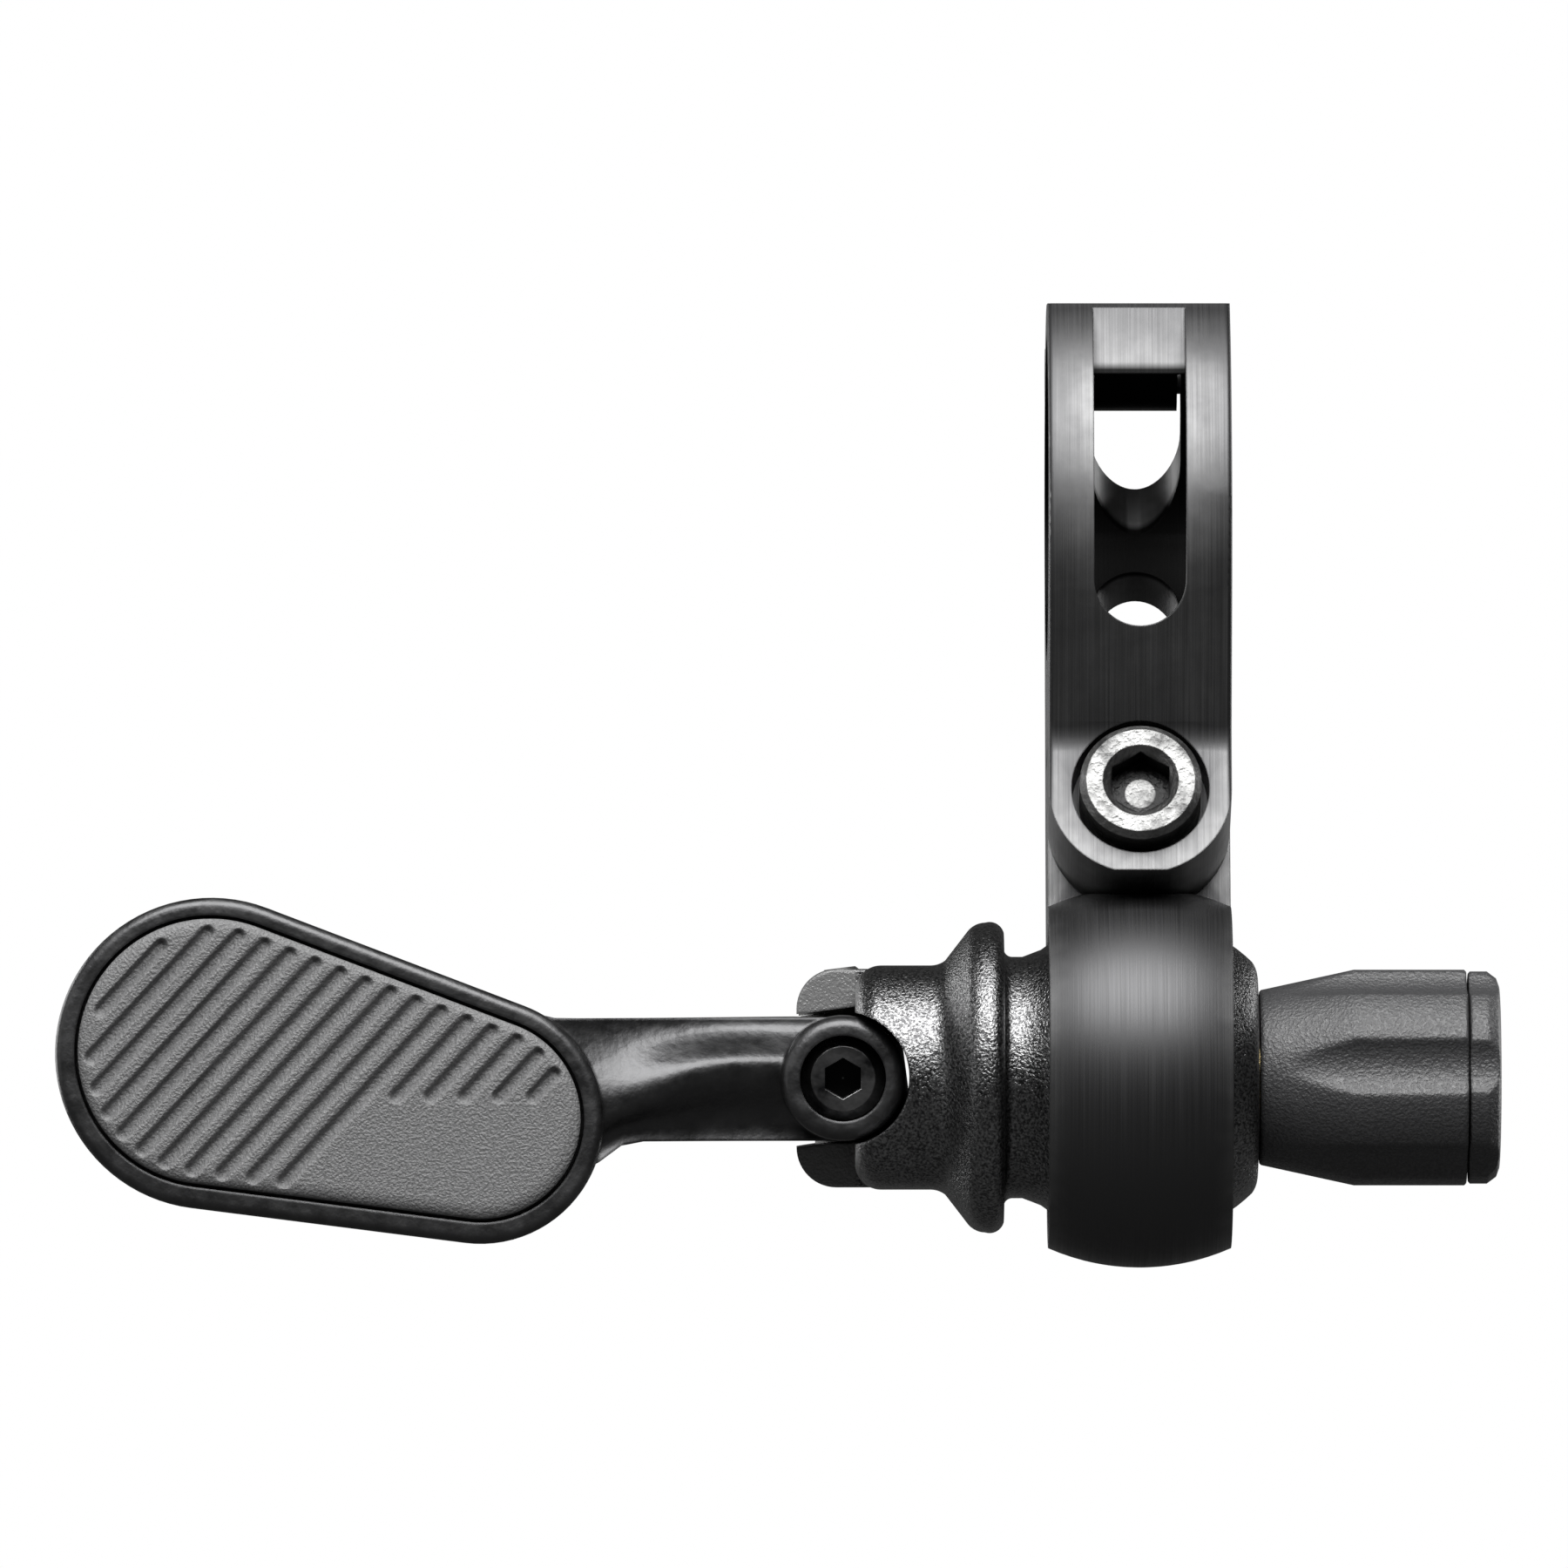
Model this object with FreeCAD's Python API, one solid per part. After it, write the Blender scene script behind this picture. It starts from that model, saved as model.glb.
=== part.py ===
import FreeCAD, Part
import math
import os
from FreeCAD import Vector, Placement, Rotation

# Dropper post remote lever with a ball-jointed bar clamp, a pivoting lever with a
# rubber thumb pad and a barrel adjuster. Millimetres, +Z up. The origin is the centre
# of the handlebar bore and X runs along the bar. The rider looks along +Y.

# Longer than any piece, for rods and boxes that cut right through
cut_through = 80.0

# Handlebar clamp
bar_d = 22.2
clamp_width = 12.8
clamp_wall = 2.5
strap_crown_r = 20.0
strap_crown_start_y = -4.755
strap_lean_deg = 12.0
strap_foot_fillet = 3.8
strap_end_y = 0.8
strap_edge_round = 0.35
joint_line_gap = 0.25

# Milled slot in the front of the strap and the tongue that bridges the bar
slot_width = 6.46
slot_bottom_z = -9.05
slot_floor_z = 8.54
slot_floor_y = -7.09
tongue_width = 5.85

# Hinge of the strap behind the bar
hinge_y = 10.25
hinge_z = 8.5
hinge_knuckle_r = 2.2
hinge_pin_d = 2.0
hinge_pin_length = 12.0
hinge_slot_width = 6.4
running_clearance = 0.03

# Window and radial hole in the rear wall
window_sill_z = 0.8
window_tilt_deg = 50.0
rear_hole_d = 6.1
rear_hole_deg = -43.5

# Clamp bolt and the layers that it passes through
bolt_tilt_deg = 21.5
bolt_face_y = -12.5
bolt_face_z = -20.4
bolt_d = 5.0
bolt_thread_mid_d = 4.5
bolt_clear_d = 5.4
bolt_length = 16.5
bolt_head_d = 8.5
bolt_head_h = 5.0
bolt_head_proud = 1.5
bolt_head_chamfer = 0.45
bolt_hex = 4.0
bolt_hex_depth = 2.6
hex_lead_in = 0.35
counterbore_d = 9.6
tab_thick = 7.65
tab_foot = 6.13
tab_clearance = 0.2
ring_slit = 1.0
jaw_tip = 5.5
jaw_tip_gap = 0.9
strap_back_gap = 0.85
rear_boss_thick = 8.1
rear_boss_top = 5.2
rear_boss_foot = 4.8
spine_leave_deg = -25.0

# Ball joint
ball_d = 22.6
ball_y = -8.0
ball_z = -40.67
socket_clearance = 0.05
ring_wall = 2.0
ring_edge_drop = 1.35

# Ball body, measured along the cable line from the ball's centre
ball_end_x = 8.26
ball_end_r = 6.9
ball_end_round = 0.4
neck_r = 8.45
neck_x = -8.2
flange_x = -10.8
flange_r = 10.85
flange_half = 1.3
housing_r = 7.85
housing_start_x = -14.6
housing_end_x = -19.9
housing_end_round = 1.8

# Pivot ears, which lean with the pivot
pivot_x = -20.0
pivot_back = 9.0
pivot_up = 0.25
pivot_lean_deg = 7.4
ear_end_x = -24.0
ear_front_back = 2.5
ear_top = 7.5
ear_foot = 7.74
ear_corner_r = 2.8
ear_rear_r = 4.2
ear_shoulder = 2.0
ear_end_round = 3.9
ear_slot_height = 9.27
ear_slot_r = 4.15
pin_d = 3.0
pin_proud = 0.15
pin_chamfer = 0.4
washer_thick = 0.2
washer_d = 6.6
bush_d = 4.5
bush_flange_d = 6.4
bush_flange = 0.3
bush_length = 3.4
axial_clearance = 0.05

# Lever
boss_x = -20.76
boss_r = 4.36
boss_front = 5.6
boss_clearance = 0.3
boss_edge_round = 0.9
hub_r = 3.7
arm_height = 8.62
arm_mid_z = -0.1
over_arm_fillet = 3.0
under_arm_fillet = 3.9
arm_back_bevel = 0.8
arm_back_bevel_height = 1.2
arm_hollow = 0.8
arm_ridge_half = 0.5
arm_section_count = 15

# Sections of the arm: x, then how far its rear face, its upper and lower edges and its
# ridge stand behind the cable line (negative is in front), and the height of the ridge.
arm_stations = [
    (-20.8, 8.5, -1.5, -3.2, 0.75),
    (-25.8, 6.0, -1.8, -4.6, 0.55),
    (-30.4, 1.6, -2.6, -5.6, 0.24),
    (-33.8, -1.8, -3.9, -6.4, -0.9),
    (-36.4, -3.3, -5.0, -6.9, -1.9),
    (-38.6, -4.3, -6.1, -7.3, -2.6),
    (-40.6, -4.8, -6.8, -7.6, -2.8),
    (-42.4, -5.0, -7.0, -7.7, -2.9),
]
paddle_big_r = 10.85
paddle_big_x = -64.8
paddle_big_z = 1.77
paddle_small_r = 8.56
paddle_small_x = -46.0
paddle_small_z = -2.93
paddle_front = 8.5
paddle_thick = 4.2
paddle_front_round = 0.7
paddle_back_round = 1.6

# Cable bore and pinch screw
cable_bore_d = 2.2
pinch_thread_d = 6.0
pinch_screw_length = 4.2
pinch_screw_sunk = 0.9
pinch_screw_d = 5.9
pinch_hex = 2.5
pinch_hex_depth = 2.2
pinch_chamfer = 0.7

# Thumb pad
pad_inset = 1.6
pad_groove = 0.25
pad_lift = 0.15
pad_sink = 1.6
pad_proud = 0.45
pad_round = 0.7
rib_angle_deg = 47.0
rib_pitch = 1.74
rib_width = 0.85
rib_depth = 0.45
rib_margin = 0.95
rib_first_x = -5.55
rib_first_z = 5.1
rib_end_gap = 4.2
rib_first_share = (0.06, 0.94)
short_rib_span = 8.0
short_rib_foot_z = -1.35
shortest_rib = 0.05

# Barrel adjuster
stem_thread_d = 6.0
stem_start_x = -6.5
stem_end_room = 0.5
stem_head_x = 15.5
stem_end_x = 24.6
stem_head_d = 8.2
housing_socket_d = 5.2
housing_socket_length = 8.5
ring_bore_d = 8.6
ring_bore_x = 1.0
o_ring_x = 2.6
o_ring_wire_d = 1.24
adjuster_gap = 0.12
grip_start_r = 6.13
grip_r = 7.57
grip_cone_x = 15.0
grip_end_x = 22.85
end_ring_gap = 0.15
end_ring_x = 25.15
end_ring_r = 7.45
end_ring_chamfer = 1.0
end_ring_neck_drop = 1.4
scallop_count = 6
scallop_depth = 0.85
scallop_r = 3.4
scallop_start_x = 10.4
scallop_full_x = 14.2
scallop_first_deg = 23.0
scallop_tip_share = 0.08
scallop_tip_reach = 1.2

# Values worked out from the sizes above
bar_r = bar_d / 2
outer_r = bar_r + clamp_wall
half_width = clamp_width / 2
ball_r = ball_d / 2
socket_r = ball_r + socket_clearance
ring_outer_r = ball_r + ring_wall
bolt_sin = math.sin(math.radians(bolt_tilt_deg))
bolt_cos = math.cos(math.radians(bolt_tilt_deg))
counterbore_depth = bolt_head_h - bolt_head_proud
bolt_line_to_ball = (ball_y - bolt_face_y) * bolt_cos - (ball_z - bolt_face_z) * bolt_sin
slit_front = bolt_line_to_ball - ring_slit / 2
slit_back = slit_front + ring_slit
cable_line = Vector(0, ball_y, ball_z)
pivot_point = Vector(pivot_x, ball_y + pivot_back, ball_z + pivot_up)
pivot_turn = Rotation(Vector(0, 1, 0), -pivot_lean_deg)
hub_height = ear_slot_height - 2 * (washer_thick + axial_clearance + bush_flange)


def beside_bolt(depth, up):
    """Point (y, z) at a depth along the bolt and a height across it."""
    y = bolt_face_y + depth * bolt_cos + up * bolt_sin
    z = bolt_face_z - depth * bolt_sin + up * bolt_cos
    return (y, z)


def yz(point, x=0.0):
    return Vector(x, point[0], point[1])


def on_circle(radius, angle_deg, centre=(0.0, 0.0)):
    """Point (y, z) on a circle, with the angle counted from +Y towards +Z."""
    angle = math.radians(angle_deg)
    return (centre[0] + radius * math.cos(angle), centre[1] + radius * math.sin(angle))


def line(start, end):
    return Part.LineSegment(start, end).toShape()


def arc(start, middle, end):
    return Part.Arc(start, middle, end).toShape()


def rounded_loop(corners):
    """Closed wire through corners given as (vector, radius), each corner rounded."""
    count = len(corners)
    cuts = []
    for index in range(count):
        point, radius = corners[index]
        before = (corners[index - 1][0] - point).normalize()
        after = (corners[(index + 1) % count][0] - point).normalize()
        if radius == 0:
            cuts.append((point, None, point))
            continue
        half = before.getAngle(after) / 2
        reach = radius / math.tan(half)
        centre = point + (before + after).normalize() * (radius / math.sin(half))
        middle = centre + (point - centre).normalize() * radius
        cuts.append((point + before * reach, middle, point + after * reach))
    edges = []
    for index in range(count):
        enter, middle, leave = cuts[index]
        if middle is not None:
            edges.append(arc(enter, middle, leave))
        following = cuts[(index + 1) % count][0]
        if (following - leave).Length > 1e-6:
            edges.append(line(leave, following))
    return Part.Wire(edges)


def across(wire_edges, half=half_width):
    """Solid from a profile in the YZ plane, as wide as the clamp."""
    wire = Part.Wire(wire_edges) if isinstance(wire_edges, list) else wire_edges
    wire.translate(Vector(-half, 0, 0))
    return Part.Face(wire).extrude(Vector(2 * half, 0, 0))


def rod(start, direction, radius, length):
    return Part.makeCylinder(radius, length, start, direction)


def turned(profile):
    """Solid of revolution about the X axis from edges in the XZ half plane."""
    face = Part.Face(Part.Wire(profile))
    return face.revolve(Vector(0, 0, 0), Vector(1, 0, 0), 360)


def xr(x, r):
    return Vector(x, 0, r)


def tube(x0, x1, r_out, r_in):
    outer = rod(Vector(x0, 0, 0), Vector(1, 0, 0), r_out, x1 - x0)
    inner = rod(Vector(x0 - 1, 0, 0), Vector(1, 0, 0), r_in, x1 - x0 + 2)
    return outer.cut(inner)


def hexagon_prism(start, direction, flats, depth):
    """Prism along a direction with the given distance across its flats."""
    corner_r = flats / math.sqrt(3)
    corners = []
    for index in range(6):
        angle = math.radians(60 * index + 30)
        corners.append(Vector(corner_r * math.cos(angle), corner_r * math.sin(angle), 0))
    corners.append(corners[0])
    prism = Part.Face(Part.makePolygon(corners)).extrude(Vector(0, 0, depth))
    prism.Placement = Placement(start, Rotation(Vector(0, 0, 1), direction))
    return prism


bolt_axis = Vector(0, bolt_cos, -bolt_sin)


def bolt_point(depth):
    return yz(beside_bolt(depth, 0))


def bolt_rod(depth, radius, length):
    return rod(bolt_point(depth), bolt_axis, radius, length)


def fillet_where(shape, radius, wanted):
    """Round the edges that the test picks."""
    return shape.makeFillet(radius, [edge for edge in shape.Edges if wanted(edge)])


# Clamp front strap
def strap_wall_points():
    """The strap's leaning front wall: its top on the crown arc and its foot on the bolt face."""
    centre_y = -outer_r + strap_crown_r
    rise = math.sqrt(strap_crown_r ** 2 - (centre_y - strap_crown_start_y) ** 2)
    centre = (centre_y, outer_r - rise)
    top = on_circle(strap_crown_r, 180 + strap_lean_deg, centre)
    lean_sin = math.sin(math.radians(strap_lean_deg))
    lean_cos = math.cos(math.radians(strap_lean_deg))
    spread = lean_sin * bolt_cos + lean_cos * bolt_sin
    run_y = bolt_face_y - top[0]
    run_z = bolt_face_z - top[1]
    down = (run_y * bolt_cos - run_z * bolt_sin) / spread
    foot = (top[0] + down * lean_sin, top[1] - down * lean_cos)
    return centre, top, foot


def point_on_bar(depth, radius):
    """Where the plane at a depth along the bolt meets a circle about the bar."""
    base = beside_bolt(depth, 0)
    toward = base[0] * bolt_sin + base[1] * bolt_cos
    rest = base[0] ** 2 + base[1] ** 2 - radius ** 2
    up = -toward - math.sqrt(toward ** 2 - rest)
    return beside_bolt(depth, up)


def strap_profile():
    centre, wall_top, wall_foot = strap_wall_points()
    crown_top = (strap_crown_start_y, outer_r)
    start_deg = math.degrees(math.atan2(outer_r - centre[1], strap_crown_start_y - centre[0]))
    crown_middle = on_circle(strap_crown_r, (start_deg + 180 + strap_lean_deg) / 2, centre)
    turn = math.radians(strap_lean_deg + bolt_tilt_deg)
    run = strap_foot_fillet * math.tan(turn / 2)
    up_wall = (yz(wall_top) - yz(wall_foot)).normalize()
    down_face = (yz(beside_bolt(0, -tab_foot)) - yz(wall_foot)).normalize()
    fillet_start = yz(wall_foot) + up_wall * run
    fillet_end = yz(wall_foot) + down_face * run
    inward = (up_wall + down_face).normalize()
    to_centre = strap_foot_fillet / math.cos(turn / 2)
    fillet_centre = yz(wall_foot) + inward * to_centre
    fillet_middle = fillet_centre - inward * strap_foot_fillet
    bar_end = point_on_bar(tab_thick, bar_r)
    top_inner = (strap_end_y, math.sqrt(bar_r ** 2 - strap_end_y ** 2))
    return [
        line(yz((strap_end_y, outer_r)), yz(crown_top)),
        arc(yz(crown_top), yz(crown_middle), yz(wall_top)),
        line(yz(wall_top), fillet_start),
        arc(fillet_start, fillet_middle, fillet_end),
        line(fillet_end, yz(beside_bolt(0, -tab_foot))),
        line(yz(beside_bolt(0, -tab_foot)), yz(beside_bolt(tab_thick, -tab_foot))),
        line(yz(beside_bolt(tab_thick, -tab_foot)), yz(bar_end)),
        arc(yz(bar_end), Vector(0, -bar_r, 0), yz(top_inner)),
        line(yz(top_inner), yz((strap_end_y, outer_r))),
    ]


def tab_corners():
    """What is cut off below the bolt to give the tab its round foot."""
    up = Vector(0, bolt_sin, bolt_cos)
    side = 2 * half_width
    block = Part.makeBox(side + 2, side, tab_thick + 2)
    frame = Rotation(Vector(1, 0, 0), -up, bolt_axis, "ZXY")
    block.Placement = Placement(bolt_point(-1) + Vector(-half_width - 1, 0, 0), frame)
    return block.cut(bolt_rod(-2, half_width, tab_thick + 6))


def front_slot():
    """Slot milled through the front wall, with a leaning floor where it meets the tongue."""
    slot_r = slot_width / 2
    low = slot_bottom_z + slot_r
    deep = 2 * outer_r
    through = Part.makeBox(slot_width, deep, slot_floor_z - low, Vector(-slot_r, -deep, low))
    through = through.fuse(rod(Vector(0, -deep, low), Vector(0, 1, 0), slot_r, deep))
    lean = math.tan(math.radians(bolt_tilt_deg))
    rise = 2 * outer_r - slot_floor_z
    wedge = across([
        line(yz((slot_floor_y, slot_floor_z)), yz((slot_floor_y + rise * lean, slot_floor_z + rise))),
        line(yz((slot_floor_y + rise * lean, slot_floor_z + rise)), yz((-deep, slot_floor_z + rise))),
        line(yz((-deep, slot_floor_z + rise)), yz((-deep, slot_floor_z))),
        line(yz((-deep, slot_floor_z)), yz((slot_floor_y, slot_floor_z))),
    ], slot_r)
    return through.fuse(wedge)


def tongue():
    """Curved tongue over the bar, ending in the knuckle of the hinge."""
    half = tongue_width / 2
    inner_r = bar_r + running_clearance
    hinge_angle = math.degrees(math.atan2(hinge_z, hinge_y))
    start_y = strap_end_y - 1
    start_outer = (start_y, outer_r)
    start_inner = (start_y, math.sqrt(inner_r ** 2 - start_y ** 2))
    middle_deg = (90 + hinge_angle) / 2
    band = across([
        line(yz(start_outer), yz((0, outer_r))),
        arc(yz((0, outer_r)), yz(on_circle(outer_r, middle_deg)), yz(on_circle(outer_r, hinge_angle))),
        line(yz(on_circle(outer_r, hinge_angle)), yz(on_circle(inner_r, hinge_angle))),
        arc(yz(on_circle(inner_r, hinge_angle)), yz(on_circle(inner_r, middle_deg)), yz(start_inner)),
        line(yz(start_inner), yz(start_outer)),
    ], half)
    knuckle = rod(Vector(-half, hinge_y, hinge_z), Vector(1, 0, 0), hinge_knuckle_r, tongue_width)
    bar_clear = rod(Vector(-half - 1, 0, 0), Vector(1, 0, 0), inner_r, tongue_width + 2)
    return band.fuse(knuckle).cut(bar_clear)


def hinge_bore(diameter, length):
    return rod(Vector(-length / 2, hinge_y, hinge_z), Vector(1, 0, 0), diameter / 2, length)


def make_front_strap():
    strap = across(strap_profile())
    strap = fillet_where(strap, strap_edge_round, is_strap_rim)
    strap = strap.cut(tab_corners()).cut(front_slot())
    strap = strap.fuse(tongue())
    strap = strap.cut(hinge_bore(hinge_pin_d + 2 * running_clearance, 2 * clamp_width))
    strap = strap.cut(bolt_rod(-1, counterbore_d / 2, counterbore_depth + 1))
    return strap.cut(bolt_rod(0, bolt_clear_d / 2, tab_thick + 1)).removeSplitter()


def is_strap_rim(edge):
    """The outer edges of the strap on both sides, from its crown down to the foot of the tab."""
    box = edge.BoundBox
    on_side = box.XLength < 1e-6 and abs(abs(box.XMin) - half_width) < 1e-6
    foot_z = beside_bolt(0, -tab_foot)[1]
    return on_side and box.YMax < -strap_end_y and box.ZMin > foot_z - 0.1


# Clamp rear body with the split ring of the ball joint
def rear_profile():
    top_y = strap_end_y + joint_line_gap
    spine_top = on_circle(outer_r, spine_leave_deg)
    back_end = slit_back + rear_boss_thick
    boss_top = yz(beside_bolt(back_end, rear_boss_top))
    boss_foot = yz(beside_bolt(back_end, -rear_boss_foot))
    ring_side = yz(on_circle(ring_outer_r - ring_edge_drop, 22, (ball_y, ball_z)))
    jaw_low = yz(beside_bolt(tab_thick, -ring_outer_r))
    front_back = tab_thick + strap_back_gap
    step = jaw_tip + jaw_tip_gap
    bar_end = yz(point_on_bar(front_back, bar_r))
    top_outer = (top_y, math.sqrt(outer_r ** 2 - top_y ** 2))
    top_inner = (top_y, math.sqrt(bar_r ** 2 - top_y ** 2))
    return [
        arc(yz(top_outer), yz(on_circle(outer_r, 30)), yz(spine_top)),
        line(yz(spine_top), boss_top),
        line(boss_top, boss_foot),
        line(boss_foot, ring_side),
        line(ring_side, Vector(0, ball_y, ball_z)),
        line(Vector(0, ball_y, ball_z), jaw_low),
        line(jaw_low, yz(beside_bolt(tab_thick, step))),
        line(yz(beside_bolt(tab_thick, step)), yz(beside_bolt(front_back, step))),
        line(yz(beside_bolt(front_back, step)), bar_end),
        arc(bar_end, Vector(0, bar_r, 0), yz(top_inner)),
        line(yz(top_inner), yz(top_outer)),
    ]


def ball_ring():
    """Barrel-shaped ring about the ball, with its crown at the middle of its width."""
    edge_r = ring_outer_r - ring_edge_drop
    ring = turned([
        line(xr(-half_width, 0), xr(-half_width, edge_r)),
        arc(xr(-half_width, edge_r), xr(0, ring_outer_r), xr(half_width, edge_r)),
        line(xr(half_width, edge_r), xr(half_width, 0)),
        line(xr(half_width, 0), xr(-half_width, 0)),
    ])
    ring.translate(cable_line)
    return ring


def tilted_window():
    """Slot with a round sill, cut through the rear wall along a slanting line."""
    slot_r = hinge_slot_width / 2
    along = Vector(0, math.cos(math.radians(window_tilt_deg)), math.sin(math.radians(window_tilt_deg)))
    up = Vector(0, -along.z, along.y)
    sill = Vector(0, math.sqrt(outer_r ** 2 - window_sill_z ** 2), window_sill_z)
    sill_up = sill.dot(up) + slot_r
    start = up * sill_up
    deep = 2 * outer_r
    long_side = Part.makeBox(hinge_slot_width, deep, deep)
    frame = Rotation(Vector(1, 0, 0), along, up, "ZXY")
    long_side.Placement = Placement(start + Vector(-slot_r, 0, 0), frame)
    return long_side.fuse(rod(start, along, slot_r, deep))


def slit_cut():
    """Slit of the ring, from the ball up past the bolt, with the gap above the jaw's tip."""
    wide = half_width + 1
    low = -bolt_line_up()
    slit = across([
        line(yz(beside_bolt(slit_front, low)), yz(beside_bolt(slit_back, low))),
        line(yz(beside_bolt(slit_back, low)), yz(beside_bolt(slit_back, jaw_tip + jaw_tip_gap))),
        line(yz(beside_bolt(slit_back, jaw_tip + jaw_tip_gap)),
             yz(beside_bolt(slit_front, jaw_tip + jaw_tip_gap))),
        line(yz(beside_bolt(slit_front, jaw_tip + jaw_tip_gap)), yz(beside_bolt(slit_front, low))),
    ], wide)
    gap = across([
        line(yz(beside_bolt(tab_thick - 1, jaw_tip)), yz(beside_bolt(slit_back, jaw_tip))),
        line(yz(beside_bolt(slit_back, jaw_tip)), yz(beside_bolt(slit_back, jaw_tip + jaw_tip_gap))),
        line(yz(beside_bolt(slit_back, jaw_tip + jaw_tip_gap)),
             yz(beside_bolt(tab_thick - 1, jaw_tip + jaw_tip_gap))),
        line(yz(beside_bolt(tab_thick - 1, jaw_tip + jaw_tip_gap)),
             yz(beside_bolt(tab_thick - 1, jaw_tip))),
    ], wide)
    return slit.fuse(gap)


def bolt_line_up():
    """Height of the bolt line over the ball's centre, measured across the bolt."""
    return (bolt_face_y - ball_y) * bolt_sin + (bolt_face_z - ball_z) * bolt_cos


def make_rear_body():
    body = across(rear_profile())
    lugs = rod(Vector(-half_width, hinge_y, hinge_z), Vector(1, 0, 0), hinge_knuckle_r, clamp_width)
    body = body.fuse(lugs).fuse(ball_ring())
    body = body.cut(rod(Vector(-clamp_width, 0, 0), Vector(1, 0, 0), bar_r, 2 * clamp_width))
    body = body.cut(Part.makeSphere(socket_r, cable_line))
    body = body.cut(bolt_rod(-tab_thick, half_width + tab_clearance, 2 * tab_thick))
    body = body.cut(tilted_window())
    body = body.cut(slit_cut())
    hole_dir = yz(on_circle(1.0, rear_hole_deg))
    body = body.cut(rod(Vector(0, 0, 0), hole_dir, rear_hole_d / 2, 2 * outer_r))
    body = body.cut(hinge_bore(hinge_pin_d, hinge_pin_length))
    body = body.cut(bolt_rod(0, bolt_clear_d / 2, slit_back))
    return body.cut(bolt_rod(slit_back - 0.1, bolt_thread_mid_d / 2, rear_boss_thick + 1)).removeSplitter()


def make_clamp_bolt():
    head = bolt_rod(-bolt_head_proud, bolt_head_d / 2, bolt_head_h)
    rim = min((edge for edge in head.Edges if edge.Closed), key=lambda edge: edge.CenterOfMass.y)
    head = head.makeChamfer(bolt_head_chamfer, [rim])
    plain = bolt_rod(counterbore_depth, bolt_d / 2, slit_back - counterbore_depth)
    threaded = bolt_rod(slit_back, bolt_thread_mid_d / 2, counterbore_depth + bolt_length - slit_back)
    bolt = head.fuse(plain).fuse(threaded)
    bolt = bolt.cut(hexagon_prism(bolt_point(-bolt_head_proud), bolt_axis, bolt_hex, bolt_hex_depth))
    corner_r = bolt_hex / math.sqrt(3)
    lead_in = Part.makeCone(corner_r + hex_lead_in, corner_r - hex_lead_in, 2 * hex_lead_in,
                            bolt_point(-bolt_head_proud), bolt_axis)
    return bolt.cut(lead_in)


def make_hinge_pin():
    return hinge_bore(hinge_pin_d, hinge_pin_length)


# Ball body
def ball_profile():
    end_sphere_x = ball_end_x - ball_end_round
    end_sphere_r = math.sqrt(ball_r ** 2 - end_sphere_x ** 2)
    round_middle = xr(ball_end_x - 0.3 * ball_end_round, (ball_end_r + end_sphere_r) / 2 + 0.1)
    leave_x = neck_x + 1.3
    leave_r = math.sqrt(ball_r ** 2 - leave_x ** 2)
    right_x = flange_x + flange_half
    left_x = flange_x - flange_half
    slope_foot_x = housing_start_x + 1.0
    shoulder_r = flange_r - 0.7
    end_start_x = housing_end_x + housing_end_round
    bend = housing_end_round * (1 - math.sqrt(0.5))
    return [
        line(xr(ball_end_x, 0), xr(ball_end_x, ball_end_r)),
        arc(xr(ball_end_x, ball_end_r), round_middle, xr(end_sphere_x, end_sphere_r)),
        arc(xr(end_sphere_x, end_sphere_r), xr(0, ball_r), xr(leave_x, leave_r)),
        line(xr(leave_x, leave_r), xr(neck_x, neck_r)),
        line(xr(neck_x, neck_r), xr(neck_x - 0.7, neck_r)),
        arc(xr(neck_x - 0.7, neck_r), xr(right_x + 0.15, neck_r + 0.2), xr(right_x, neck_r + 0.6)),
        line(xr(right_x, neck_r + 0.6), xr(right_x, shoulder_r)),
        arc(xr(right_x, shoulder_r), xr(right_x - 0.36, flange_r - 0.17), xr(flange_x, flange_r)),
        arc(xr(flange_x, flange_r), xr(left_x + 0.55, flange_r - 0.2), xr(left_x, shoulder_r)),
        line(xr(left_x, shoulder_r), xr(slope_foot_x, housing_r + 0.35)),
        arc(xr(slope_foot_x, housing_r + 0.35), xr(housing_start_x + 0.55, housing_r + 0.1),
            xr(housing_start_x, housing_r)),
        line(xr(housing_start_x, housing_r), xr(end_start_x, housing_r)),
        arc(xr(end_start_x, housing_r), xr(housing_end_x + bend, housing_r - bend),
            xr(housing_end_x, housing_r - housing_end_round)),
        line(xr(housing_end_x, housing_r - housing_end_round), xr(housing_end_x, 0)),
        line(xr(housing_end_x, 0), xr(ball_end_x, 0)),
    ]


def in_cable_frame(shape):
    """Move a shape modelled about the cable line to its place."""
    shape.translate(cable_line)
    return shape


def in_pivot_frame(shape):
    """Stand a shape modelled about a vertical pivot on the leaning one."""
    shape.Placement = Placement(pivot_point, pivot_turn).multiply(shape.Placement)
    return shape


def pin_line(radius):
    """Rod along the pivot that passes through everything."""
    return rod(Vector(0, 0, -cut_through / 2), Vector(0, 0, 1), radius, cut_through)


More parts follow.
